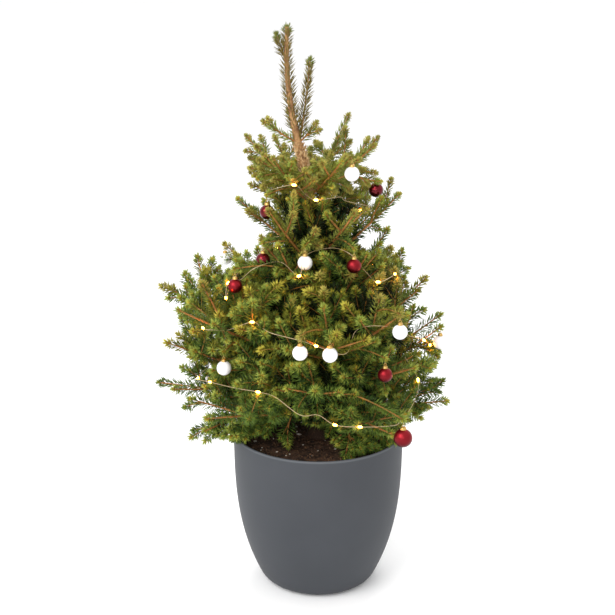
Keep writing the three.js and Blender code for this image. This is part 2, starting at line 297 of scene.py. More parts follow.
# Studio: camera as the photo has it, pale floor, soft light
studio = {
    "camera": (-15.2, -1720.7, 933.5), "tilt": 17.0665,  # place in millimetres, degrees down
    "focus": 1302.114, "picture": 615, "sensor": 36,  # focal length and width in pixels of the photo
    "sky": 1.03, "aim": (0, 0, 0.4),
    "lamps": (  # place in metres, side of the soft box, watts
        ((-1.7, -1.9, 2.3), 2.2, 64),
        ((-0.2, -2.5, 1.3), 0.36, 7),
        ((0.3, 1.6, 2.2), 1.6, 24),
    ),
    "floorSide": 60, "floorTints": (tint(254, 254, 254), tint(252, 252, 252)),
}
cameraPlace = np.array(studio["camera"])
tilt = math.radians(studio["tilt"])
rightward = np.array([1.0, 0, 0])
forward = np.array([0, math.cos(tilt), -math.sin(tilt)])
upward = np.array([0, math.sin(tilt), math.cos(tilt)])


def toPhoto(points):  # columns, rows and depths of points in the photo
    offset = points - cameraPlace
    depth = offset @ forward
    half, focus = studio["picture"] / 2, studio["focus"]
    return half + focus * offset[:, 0] / depth, half - focus * (offset @ upward) / depth, depth


def fromPhoto(column, row, depth):
    half = studio["picture"] / 2
    across, above = (column - half) / studio["focus"], (half - row) / studio["focus"]
    return cameraPlace + depth * (forward + rightward * across + upward * above)


def onRay(column, row, axis, value):  # where the sight line through a place in the photo meets a plane
    ray = fromPhoto(column, row, 1.0) - cameraPlace
    return cameraPlace + ray * (value - cameraPlace[axis]) / ray[axis]


def buildStudio():
    lens = bpy.data.cameras.new("photoCamera")
    lens.sensor_width = studio["sensor"]
    lens.lens = studio["focus"] / studio["picture"] * studio["sensor"]
    camera = newObject("photoCamera", lens)
    camera.location = cameraPlace * mm
    camera.rotation_euler = (math.pi / 2 - tilt, 0, 0)
    bpy.context.scene.camera = camera
    bpy.context.scene.view_settings.view_transform = "Standard"
    world = bpy.data.worlds.new("softBox")
    world.use_nodes = True
    sky = world.node_tree.nodes["Background"]
    sky.inputs["Color"].default_value = (1, 1, 1, 1)
    sky.inputs["Strength"].default_value = studio["sky"]
    bpy.context.scene.world = world
    for number, (place, side, watts) in enumerate(studio["lamps"]):
        box = bpy.data.lights.new(f"softLamp{number}", "AREA")
        box.size = side
        box.energy = watts
        lamp = newObject(f"softLamp{number}", box)
        lamp.location = place
        lamp.rotation_euler = (Vector(studio["aim"]) - Vector(place)).to_track_quat("-Z", "Y").to_euler()
    paper = Finish("paperFloor", {"Specular IOR Level": 0.1})
    paper.show({
        "Base Color": paper.blend(paper.grain(3), *studio["floorTints"]),
        "Roughness": 0.85 + 0.1 * paper.grain(400),
    })
    corners = np.array([[-1, -1, 0], [1, -1, 0], [1, 1, 0], [-1, 1, 0]]) * studio["floorSide"] / 2 / mm
    sheet = Joined()
    sheet.add(corners, [[0, 1, 2, 3]])
    sheet.make("paperFloor", paper, False)


buildStudio()
print("studio: camera, floor and", len(studio["lamps"]), "soft boxes")

# Pot
pot = {
    "height": 226, "rim": 120, "low": 78, "belly": 3, "foot": 63, "footRise": 12, "wall": 4.5, "floor": 5,
    "sides": 144, "steps": 44, "footSteps": 9, "rimSteps": 12,
    "inner": (3.2, 1.6), "paintedShade": (30, 20), "paintedHighlight": (3.4, 1.4),  # bands back from the rim: the inner side, painted shade on it, and a painted highlight on its outer edge
    # the last two greys are painted shade for the rim's inner side and a painted highlight for its outer edge
    "greys": (tint(56, 59, 64), tint(62, 65, 70)), "paintedShadeGrey": tint(26, 27, 30), "paintedHighlightGrey": tint(88, 92, 97),
}


def potRadius(height):
    return pot["rim"] - (pot["rim"] - pot["low"]) * (1 - height / pot["height"]) ** pot["belly"]


def buildPot():
    profile = [(0, 0)]
    for share in np.linspace(0, 1, pot["footSteps"]):  # rounded foot
        edge = pot["foot"] * (1 - share) ** 2 + 2 * potRadius(0) * share * (1 - share)
        profile.append((edge + potRadius(pot["footRise"]) * share ** 2, pot["footRise"] * share ** 2))
    roll = pot["wall"] / 2
    rim, top = pot["rim"] - roll, pot["height"] - roll
    for height in np.linspace(pot["footRise"], top, pot["steps"])[1:-1]:
        profile.append((potRadius(height), height))
    for turn in np.linspace(0, math.pi, pot["rimSteps"]):  # rolled rim
        profile.append((rim + roll * math.cos(turn), top + roll * math.sin(turn)))
    for height in np.linspace(top, pot["floor"], pot["steps"] // 2)[1:]:
        profile.append((potRadius(height) - pot["wall"], height))
    profile.append((0, pot["floor"]))
    shell = Joined()
    shell.add(*spun(profile, pot["sides"]))
    plastic = Finish("anthracitePlastic", {"IOR": 1.45, "Specular IOR Level": 0.4})
    cloud = plastic.grain(9, 3)
    pits = plastic.grain(1100, 1)
    level = plastic.vector("MULTIPLY", plastic.place, (1, 1, 0))
    radius = plastic.node("ShaderNodeVectorMath", {"operation": "LENGTH"}, {0: level}, "Value")
    height = plastic.node("ShaderNodeSeparateXYZ", {}, {"Vector": plastic.place}, "Z")

    def band(value, edge, label):
        return plastic.between(value, *((edge - back) * mm for back in pot[label]))

    inner = 1 - band(radius, pot["rim"], "inner")
    paintedShade = inner * band(height, pot["height"], "paintedShade")  # painted shade darkens the rim's inner side, which is also rougher
    # painted highlight: a lighter band on the rim's outer edge
    paintedHighlight = (1 - inner) * band(height, pot["height"], "paintedHighlight")
    body = plastic.blend(plastic.between(cloud, 0.3, 0.7), *pot["greys"])
    body = plastic.blend(paintedHighlight, body, pot["paintedHighlightGrey"])
    plastic.show({
        "Base Color": plastic.blend(paintedShade, body, pot["paintedShadeGrey"]),
        "Roughness": 0.52 + 0.08 * cloud + 0.05 * pits + 0.2 * paintedShade,
        "Normal": plastic.relief(pits, 0.12, 0.0002),
    })
    return settle(shell.make("pot_shell", plastic), "pot", ["pot"])


buildPot()
print("pot: turned shell with a rolled rim")

# Soil: a crumbly bed with peat crumbs and a few white grains
soil = {
    "height": 212, "mound": 4, "moundBend": 0.6, "patch": 19, "below": 34, "rings": 44, "sides": 132,
    "innermost": 3, "wallGap": 0.8, "moundGap": 1,
    "lumps": 2.6, "lumpSize": 9, "lumpLayer": 3, "calm": (14, 30), "calmEdge": 6, "edgeLumps": 0.15,
    "damp": (tint(44, 33, 27), tint(84, 61, 46)), "dried": tint(110, 84, 64), "seed": 4, "spin": 6.2,
    "scattered": {  # how many, smallest and largest, seed, flatness
        "soil_crumbs": (900, 0.0009, 0.0026, 5, 0.6), "soil_grains": (22, 0.0008, 0.0019, 9, 0.8),
    },
    "seen": (  # white grains by photo column and row, with their half length and half width
        (255, 441, 2.6, 2.2), (277, 452, 1.9, 1.5), (299, 436, 4.6, 1.7), (296, 429, 2.6, 1.8),
        (262, 447, 1.4, 1.1), (303, 446, 1.6, 1.2), (318, 452, 1.3, 1.0), (286, 456, 1.2, 1.0),
        (302, 424, 4.2, 1.4),
    ),
    "flatness": 0.8,
    "peat": {
        "fixed": {"Specular IOR Level": 0.2}, "grain": (300, 2), "band": (0.35, 0.65),
        "tints": (tint(46, 35, 28), tint(112, 84, 62)), "rough": (0.8, 0.15),
    },
    "white": {
        "fixed": {"Specular IOR Level": 0.3}, "grain": (900, 3), "relief": (0.6, 0.0004),
        "tints": (tint(226, 220, 208), tint(176, 166, 150)), "rough": (0.7, 0.2),
    },
}


def soilLevel(x, y):
    radius = math.hypot(x, y)
    edge = potRadius(soil["height"]) - pot["wall"] - soil["moundGap"]
    rise = soil["mound"] * ramp(radius, edge, soil["patch"]) ** soil["moundBend"]
    calm = ramp(radius, *soil["calm"]) * min(1, (edge - radius) / soil["calmEdge"] + soil["edgeLumps"])
    rough = noise.fractal(Vector((x, y, soil["lumpLayer"])) / soil["lumpSize"], 1.0, 2.0, 4) * soil["lumps"]
    return soil["height"] + rise + calm * rough


def buildSoil():
    edge = potRadius(soil["height"]) - pot["wall"] - soil["wallGap"]
    under = soil["height"] - soil["below"]
    sides, rings = soil["sides"], soil["rings"]
    turn = np.linspace(0, 2 * math.pi, sides, endpoint=False)
    top = []
    for radius in np.linspace(edge, soil["innermost"], rings):
        for angle in turn:
            x, y = radius * math.cos(angle), radius * math.sin(angle)
            top.append((x, y, soilLevel(x, y)))
    foot = [(edge * math.cos(angle), edge * math.sin(angle), under) for angle in turn]
    bed = Joined()
    bed.add(np.array(foot + top + [(0, 0, under), (0, 0, soilLevel(0, 0))]), closedFaces(rings + 1, sides))
    earth = Finish("pottingSoil", {"Specular IOR Level": 0.2})
    lumps = earth.grain(260, 5, 0.65)
    fibres = earth.grain(90, 3)
    damp = earth.blend(earth.between(fibres, 0.35, 0.7), *soil["damp"])
    earth.show({
        "Base Color": earth.blend(earth.between(lumps, 0.5, 0.75), damp, soil["dried"]),
        "Roughness": 0.85 + 0.12 * lumps,
        "Normal": earth.relief(lumps, 0.9, 0.0015),
    })
    settle(bed.make("soil_bed", earth), "soil", ["soil"])
    surface = bpy.data.meshes.new("soilTop")
    surface.from_pydata((np.array(top) * mm).tolist(), [], ringFaces(rings, sides))
    return surface


def lump(seed, flatness):  # an angular grain of a few faces
    golden = (1 + 5 ** 0.5) / 2
    corners = [(-1, golden, 0), (1, golden, 0), (-1, -golden, 0), (1, -golden, 0),
               (0, -1, golden), (0, 1, golden), (0, -1, -golden), (0, 1, -golden),
               (golden, 0, -1), (golden, 0, 1), (-golden, 0, -1), (-golden, 0, 1)]
    faces = [(0, 11, 5), (0, 5, 1), (0, 1, 7), (0, 7, 10), (0, 10, 11), (1, 5, 9), (5, 11, 4), (11, 10, 2),
             (10, 7, 6), (7, 1, 8), (3, 9, 4), (3, 4, 2), (3, 2, 6), (3, 6, 8), (3, 8, 9), (4, 9, 5),
             (2, 4, 11), (6, 2, 10), (8, 6, 7), (9, 8, 1)]
    draw = np.random.default_rng(seed)
    return unit(np.array(corners)) * draw.uniform(0.7, 1.15, (12, 1)) * np.array([1, 0.8, flatness]), faces


def scatterRule():
    inputs = {"Grain": "Object", "Count": "Float", "Smallest": "Float", "Largest": "Float", "Seed": "Int"}
    rule = Rule("scatterGrains", inputs)
    sockets = {"Mesh": rule.take("Geometry"), "Density": rule.take("Count"), "Seed": rule.take("Seed")}
    spots = rule.node("GeometryNodeDistributePointsOnFaces", {}, sockets)
    shape = rule.node("GeometryNodeObjectInfo", {}, {"Object": rule.take("Grain")}, "Geometry")
    size = rule.chance(rule.take("Smallest"), rule.take("Largest"), 3)
    sockets = {1: (soil["spin"],) * 3, "Seed": 8}
    spin = rule.node("FunctionNodeRandomValue", {"data_type": "FLOAT_VECTOR"}, sockets)
    sockets = {"Points": spots, "Instance": shape, "Rotation": spin, "Scale": size}
    rule.close(rule.node("GeometryNodeInstanceOnPoints", {}, sockets))
    return rule


def buildCrumbs(surface):
    rule = scatterRule()
    peat, white = grained("peatCrumbs", **soil["peat"]), grained("whiteGrains", **soil["white"])
    area = math.pi * ((potRadius(soil["height"]) - pot["wall"]) * mm) ** 2
    for finish, (name, kind) in zip((peat, white), soil["scattered"].items()):
        count, smallest, largest, seed, flatness = kind
        points, faces = lump(seed, flatness)
        shape = bpy.data.meshes.new(name + "Shape")
        shape.from_pydata(points.tolist(), [], faces)
        grain = newObject(name + "Shape", shape)
        values = {"Grain": grain, "Count": count / area, "Smallest": smallest, "Largest": largest,
                  "Seed": soil["seed"] + seed}
        settle(rule.make(name, surface.copy(), values, finish), "soil")
        bpy.data.objects.remove(grain)
    chips = Joined()
    for number, (column, row, length, width) in enumerate(soil["seen"]):
        x, y, _ = onRay(column, row, 2, soil["height"] + soil["mound"] / 2)
        points, faces = lump(soil["seed"] + number, soil["flatness"])
        rest = np.array([x, y, soilLevel(x, y) + width / 2])
        chips.add(points * np.array([length, width, width]) + rest, faces)
    settle(chips.make("soil_chips", white, False), "soil")


buildCrumbs(buildSoil())
print("soil: bed, crumbs and white grains")

# Crown: the skeleton of the solids, grown by the same seeded rule
crown = {
    "seed": 6, "seedsPerTier": 100, "turnJitter": 9, "reachJitter": 0.06, "tipJitter": 12, "rootStagger": 7,
    "foot": 216.3, "fork": 629, "forkOffset": -26, "forkBend": 4, "footRadius": 11, "forkRadius": 5.4,
    "flare": 6, "flareHeight": 20, "gap": 0.3, "boughEnd": 0.4, "boughRadii": (4.2, 2.9), "boughStart": 0.08,
    "tiers": (  # name, boughs, turn, root, tip, reach, skew, front, arch
        ("skirt", 5, -28, 238, 224, 168, 0.05, 0.42, 40), ("low", 6, -8, 256, 292, 198, 0.09, 0.06, 2),
        ("middle", 6, 20, 284, 362, 192, 0.05, 0.04, -8), ("shoulder", 8, 178, 320, 440, 186, 0.15, 0, -12),
        ("waist", 5, 18, 380, 510, 94, -0.08, 0, -10), ("cone", 6, 0, 466, 560, 106, 0, 0, -8),
        ("upper", 6, 0, 556, 630, 90, 0, 0, -8),
    ),
    "boughTiers": ("middle", "shoulder"),
    "opening": (-64, 26, 6, 231, 0.42),  # left, right and back of the open front, its height and climb
    "boughNodes": ((0.1, (84, -84)), (0.48, (78, -78, 8))),  # place along the stem, rolls of its twigs
    "trunkNodes": ((0.36, (82, -82)), (0.66, (72, -72))),
    "angle": 50, "angleJitter": 7, "rollJitter": 10, "share": 0.62, "shareJitter": 0.12, "overshoot": 1.14,
    "curve": 0.16, "shortest": 26, "longest": 82,
    "leaderTip": (-41.5, 0, 786), "leaderBow": 13,
    "leaderShoots": (  # place, turn, angle, length
        (0.02, 10, 26, 98), (0.03, 178, 50, 50), (0.03, -15, 62, 36),
        (0.05, -105, 55, 50), (0.05, 95, 55, 52), (0.72, 165, 24, 32),
    ),
    "stemRadii": (2.3, 0.9), "twigRadii": (1.5, 0.7), "leaderRadii": (5.0, 2.4),
    "trunkPieces": 12, "boughPieces": 4, "stemPieces": 6, "twigPieces": 5, "probes": 6, "lengthPieces": 200,
    "twigRoom": 7, "woodRoom": 3.3, "groundRoom": 2, "rimOutside": 4, "rimInside": 12, "lowest": 150,
}


def seeded(seed):  # numbers from 0 to 1, the same for the same seed, as in the solids' source
    state = seed
    stride = 0x6D2B79F5
    mask = 0xFFFFFFFF  # keeps 32 bits

    def draw():
        nonlocal state
        state = (state + stride) & mask
        mixed = ((state ^ (state >> 15)) * (state | 1)) & mask
        mixed ^= (mixed + (((mixed ^ (mixed >> 7)) * (mixed | 61)) & mask)) & mask
        return ((mixed ^ (mixed >> 14)) & mask) / (mask + 1)

    return draw


def jitter(draw, amount):
    return (draw() * 2 - 1) * amount


def pointAt(path, share):
    share = np.asarray(share, float)[..., None]
    return path[0] * (1 - share) ** 2 + path[1] * 2 * share * (1 - share) + path[2] * share ** 2


def headingAt(path, share):
    share = np.asarray(share, float)[..., None]
    return unit((path[1] - path[0]) * (1 - share) + (path[2] - path[1]) * share)


def lengthOf(path):
    points = pointAt(path, np.linspace(0, 1, crown["lengthPieces"] + 1))
    return np.linalg.norm(np.diff(points, axis=0), axis=1).sum()


def trunkAt(height):
    rise = ramp(height, crown["foot"], crown["fork"])
    return np.array([crown["forkOffset"] * rise ** crown["forkBend"], 0, height])


def trunkRadius(height):
    rise = (height - crown["foot"]) / (crown["fork"] - crown["foot"])
    flare = crown["flare"] * math.exp(-(height - crown["foot"]) / crown["flareHeight"])
    return lerp(crown["footRadius"], crown["forkRadius"], rise) + flare


def boughPath(tier, index, draw):
    name, count, turn, rootHeight, tipHeight, reach, skew, front, arch = tier
    azimuth = math.radians(turn + 360 * index / count + jitter(draw, crown["turnJitter"]))
    reach *= (1 - skew * math.cos(azimuth)) * (1 - front * max(0, -math.sin(azimuth)))
    reach *= 1 + jitter(draw, crown["reachJitter"])
    root = trunkAt(rootHeight + (crown["rootStagger"] if index % 2 else -crown["rootStagger"]))
    tipHeight += jitter(draw, crown["tipJitter"])
    outward = np.array([math.cos(azimuth), math.sin(azimuth), 0])
    middle = root + outward * reach / 2
    middle[2] = (root[2] + tipHeight) / 2 + arch
    tip = root + outward * reach
    tip[2] = tipHeight
    return np.array([root, middle, tip])


def twigPath(stem, at, roll, angle, length):  # side twig that leaves its stem at an angle, turned by roll
    root, along = pointAt(stem, at), headingAt(stem, at)
    guide = np.array([0, -1.0, 0]) if abs(along[2]) > steep else np.array([0, 0, 1.0])
    above = unit(guide - along * (guide @ along))
    away = above * math.cos(roll) + np.cross(along, above) * math.sin(roll)
    heading = along * math.cos(angle) + away * math.sin(angle)
    tip = root + heading * length + along * length * crown["curve"]
    return np.array([root, root + heading * length / 2, tip])


class Shoot:
    def __init__(self, path, mass, order, radii, start=0.0):
        self.path = path
        self.mass = mass
        self.order = order
        self.radii = radii
        self.start = start
        self.free = 1.0  # share of it that may carry side shoots
        self.length = lengthOf(path) * (1 - start)

    def at(self, share):
        return pointAt(self.path, self.start + (1 - self.start) * np.asarray(share, float))

    def heading(self, share):
        return headingAt(self.path, self.start + (1 - self.start) * np.asarray(share, float))

    def girth(self, share):
        return lerp(*self.radii, share)

    def marks(self, step=4.0):  # points along it at about even steps
        return self.at(np.linspace(0, 1, max(3, int(self.length / step) + 1)))


def segmentsOf(path, start, pieces, radii=(0, 0), end=1.0):  # ends and radius of each piece
    ends = pointAt(path, np.linspace(start, end, pieces + 1))
    middles = (np.arange(pieces) + 0.5) / pieces
    return np.hstack([ends[:-1], ends[1:], lerp(*radii, middles)[:, None]])


def distanceTo(segments, point):
    start, run = segments[:, :3], segments[:, 3:6] - segments[:, :3]
    share = np.clip(((point - start) * run).sum(1) / (run * run).sum(1), 0, 1)
    return (np.linalg.norm(start + run * share[:, None] - point, axis=1) - segments[:, 6]).min()


def inOpening(point, opening):  # over the soil at the front
    left, right, back, height, climb = opening
    return left < point[0] < right and point[1] < back and point[2] < height - climb * point[1]


def aboveGround(point):
    if inOpening(point, crown["opening"]):
        return False
    radius = math.hypot(point[0], point[1])
    if radius > pot["rim"] + crown["rimOutside"]:
        return point[2] > crown["lowest"]
    ground = pot["height"] if radius > pot["rim"] - crown["rimInside"] else soil["height"] + soil["mound"]
    return point[2] > ground + crown["groundRoom"]


def growSkeleton():
    limbs, stems, wanted = [], [], []
    for level, tier in enumerate(crown["tiers"]):
        onBough = tier[0] in crown["boughTiers"]
        for index in range(tier[1]):
            draw = seeded(crown["seed"] + crown["seedsPerTier"] * level + index)
            path = boughPath(tier, index, draw)
            if inOpening(path[2], crown["opening"]):
                continue
            label = f"{tier[0]}_{index + 1}"
            start = crown["boughEnd"] + crown["gap"] / lengthOf(path) if onBough else 0.0
            if onBough:
                limbs.append(Shoot(path, "bough_" + label, 0, crown["boughRadii"]))
            stem = Shoot(path, "needles_" + label, 0, crown["stemRadii"], start)
            twigs = []
            for at, rolls in crown["boughNodes" if onBough else "trunkNodes"]:
                for tiltUp in rolls:
                    roll = math.radians(tiltUp + jitter(draw, crown["rollJitter"]))
                    angle = math.radians(crown["angle"] + jitter(draw, crown["angleJitter"]))
                    share = crown["share"] * (crown["overshoot"] - at)
                    share *= 1 + jitter(draw, crown["shareJitter"])
                    length = min(crown["longest"], max(crown["shortest"], stem.length * share))
                    twigs.append(twigPath(path, lerp(start, 1, at), roll, angle, length))
            stems.append(stem)
            wanted.append(twigs)
    root = trunkAt(crown["fork"]) + np.array([0, 0, crown["gap"]])
    tip = np.array(crown["leaderTip"], float)
    path = np.array([root, (root + tip) / 2 - np.array([crown["leaderBow"], 0, 0]), tip])
    stems.append(Shoot(path, "needles_leader", 0, crown["leaderRadii"]))
    wanted.append([twigPath(path, at, math.radians(90 + turn), math.radians(angle), length)
                   for at, turn, angle, length in crown["leaderShoots"]])

    heights = np.linspace(crown["foot"], crown["fork"], crown["trunkPieces"] + 1)
    wood = [np.hstack([trunkAt(low), trunkAt(high), trunkRadius((low + high) / 2)])[None]
            for low, high in zip(heights[:-1], heights[1:])]
    wood += [segmentsOf(limb.path, crown["boughStart"], crown["boughPieces"], limb.radii, crown["boughEnd"])
             for limb in limbs]
    wood = np.vstack(wood)
    axes = [[segmentsOf(stem.path, stem.start, crown["stemPieces"])] for stem in stems]
    twigs = []
    for number, stem in enumerate(stems):
        others = np.vstack([part for other, parts in enumerate(axes) if other != number for part in parts])
        for path in wanted[number]:
            probes = pointAt(path, np.linspace(0, 1, crown["probes"] + 1)[1:])
            if all(distanceTo(others, p) > crown["twigRoom"] and distanceTo(wood, p) > crown["woodRoom"]
                   and aboveGround(p) for p in probes):
                axes[number].append(segmentsOf(path, 0, crown["twigPieces"]))
                twigs.append(Shoot(path, stem.mass, 1, crown["twigRadii"]))
    return limbs, stems, twigs, wood


limbs, stems, twigs, wood = growSkeleton()
massNames = [stem.mass for stem in stems]
print("skeleton:", len(limbs), "boughs,", len(stems), "masses,", len(twigs), "side twigs")

# Finer shoots, carried on from that skeleton within the same reach
fine = {
    "seed": 21, "cell": 14.0, "reach": 42.0, "boxMargin": 5.0, "rollJitter": 14, "angleJitter": 9,
    "placeJitter": 0.3, "lengthJitter": 0.18, "overshoot": 1.2, "spiral": 137.5, "sweep": 125.0,
    "lift": (0.1, 0.34), "liftRange": (250.0, 370.0), "liftBend": (0.3, 1.0),
    "reaches": (  # height, furthest reach from the trunk to the left and to the right
        (190, 150, 112), (225, 164, 120), (253, 176, 146), (295, 196, 168), (322, 188, 164), (350, 184, 164),
        (364, 186, 150), (378, 188, 140), (406, 194, 136), (434, 204, 138), (455, 186, 130), (471, 158, 118),
        (484, 112, 110), (495, 86, 98), (517, 66, 76), (544, 56, 66), (571, 68, 80), (598, 84, 96),
        (625, 72, 88), (640, 50, 66), (652, 34, 40), (660, 20, 20),
    ),
    "needleReach": 8.0, "bays": 28.0, "bayTurn": 2.9, "bayHeight": 33.0, "spike": 24.0, "backDrop": 20.0,
    "frontCut": (0.5, 246, 284),  # share of the reach that is cut at the front, from and to these heights
    "opening": (-77, 16, 8, 246, 0.4),
    "probes": ((0.55, 0.6), (0.8, 0.85), (1.0, 1)),  # place along a new shoot, share of its room that is free
    "woodRoom": 3,
    "carrier": {  # what makes one root for a wanted tip better than another
        "places": (0.15, 0.9, 9), "straight": 1.7, "shortest": 22, "short": 80, "crossing": 0.6, "sky": 12,
        "outer": 0.75, "outward": 90, "inmost": 45, "low": 500, "badSide": 40,
    },
    "follow": 0.6, "reachFree": 0.6, "reachRadii": (1.2, 0.6), "tipPull": 5.0, "tipTaken": 5.0,
    "hangBelow": 8,
    "dartRange": (236, 616), "dartLengths": (24, 72.0), "dartTurn": 0.3, "dartRoots": (0.15, 0.85, 8),
    "dartProbes": (0.5, 0.75), "tooDear": 900,
    "darts": (  # tries, room, nearest and furthest share of reach
        (3600, 15.0, 0.4, 1.0), (4200, 10.5, 0.08, 0.74),
    ),
    "fill": {  # pitch, first, last, share, shortest and longest, order, radii, room
        "stem": (13, 0.16, 0.94, 0.5, (38, 72), 2, (0.8, 0.5), 16.5),
        "side": (13, 0.2, 0.9, 0.6, (32, 54), 2, (0.75, 0.45), 16.0),
        "limb": (11, 0.1, 0.42, 0.3, (32, 52), 3, (0.75, 0.45), 14.0),
        "last": (13, 0.3, 0.85, 0.6, (26, 40), 3, (0.65, 0.4), 15.0),
    },
    "lastFrom": 34, "lastRadii": (0.65, 0.4),
    "whorl": {  # small shoots on the trunk between its whorls
        "heights": (246, 612, 6.0), "rise": 0.7, "length": 44, "jitter": 12, "lift": 6.0, "radii": (1.1, 0.6),
        "room": 12.5, "reach": 70,
    },
    "tips": (  # outermost tips by photo column and row
        (264, 118), (260, 142), (242, 151), (247, 144), (246, 168), (237, 204), (256, 238), (194, 257),
        (209, 259), (222, 257), (233, 253), (245, 252), (182, 273), (158, 286), (175, 335), (184, 345),
        (179, 366), (167, 381), (182, 408), (190, 430), (202, 441), (351, 114), (337, 141), (353, 142),
        (372, 138), (367, 169), (395, 179), (391, 200), (383, 229), (404, 250), (410, 268), (420, 290),
        (427, 309), (398, 256), (442, 351), (446, 381), (442, 392), (432, 408), (324, 130), (440, 354),
        (436, 367), (428, 378), (247, 184), (215, 435), (228, 438), (236, 428), (424, 418), (412, 421),
        (416, 410), (165, 298), (174, 309), (176, 388), (188, 398), (187, 357), (194, 365), (186, 279),
        (201, 270), (215, 268), (417, 312), (358, 190), (372, 185), (384, 182), (366, 197), (316, 141),
        (311, 147), (322, 143), (246, 158), (252, 162), (348, 127), (345, 135), (266, 236), (250, 176),
        (283, 144), (421, 348), (372, 197), (367, 204), (363, 191),
    ),
    "sky": (  # where the photo shows sky between the tips: column, row, half width, half height
        (427, 320, 15, 11), (437, 332, 7, 6), (205, 407, 11, 8), (195, 436, 10, 12), (270, 147, 10, 9),
        (439, 400, 11, 10), (447, 369, 7, 8), (379, 219, 9, 11), (172, 346, 9, 6), (388, 191, 8, 6),
        (258, 225, 10, 5), (420, 281, 8, 6), (217, 264, 6, 6), (366, 238, 5, 8), (253, 253, 6, 6),
        (256, 203, 5, 6), (250, 140, 7, 7), (195, 280, 6, 6), (341, 130, 5, 9), (418, 440, 6, 7),
        (397, 197, 5, 6), (185, 357, 4, 6), (446, 353, 4, 7), (181, 402, 5, 5), (228, 247, 4, 5),
        (410, 422, 6, 4), (423, 423, 4, 5), (387, 231, 3, 6), (275, 228, 6, 4), (160, 382, 4, 4),
        (286, 127, 5, 9), (371, 233, 7, 10), (371, 160, 6, 4), (209, 448, 6, 3), (404, 269, 4, 4),
        (408, 288, 4, 4), (328, 140, 4, 4), (360, 144, 4, 4), (383, 173, 6, 5),
    ),
    "skyMargin": 5.0,
    "hanging": (  # tips over the soil by photo column and row, with their distance from the trunk's plane
        (288, 446, -62), (281, 438, -56), (345, 457, -92), (353, 449, -86), (334, 441, -66), (328, 435, -56),
        (361, 446, -84), (370, 449, -80), (380, 449, -72), (390, 442, -56), (394, 431, -48), (362, 437, -70),
        (341, 430, -60), (376, 436, -62), (232, 438, -40), (240, 440, -50), (248, 434, -52), (258, 430, -56),
        (267, 428, -56), (314, 421, -34), (322, 425, -38), (306, 416, -34), (331, 427, -50),
    ),
    "spray": {"places": (0.3, 0.48, 0.66, 0.82), "roll": 82, "share": 0.5, "overshoot": 1.1, "shortest": 15,
              "longest": 32, "room": 8.5, "fromRow": 340},
    "clearings": (  # middle and half-axes of what stays open: before the trunk, and at the low left
        ((-21, -38, 606), (11, 44, 44)), ((-155, 0, 272), (24, 60, 10)),
    ),
}


class Room:
    def __init__(self, cell):
        self.cell = cell
        self.held = {}

    def add(self, points):
        for point in points:
            self.held.setdefault(tuple((point // self.cell).astype(int)), []).append(point)

    def isFree(self, point, distance):
        cell = (point // self.cell).astype(int)
        for step in itertools.product((-1, 0, 1), repeat=3):
            for held in self.held.get(tuple(cell + step), ()):
                if ((held - point) ** 2).sum() < distance * distance:
                    return False
        return True


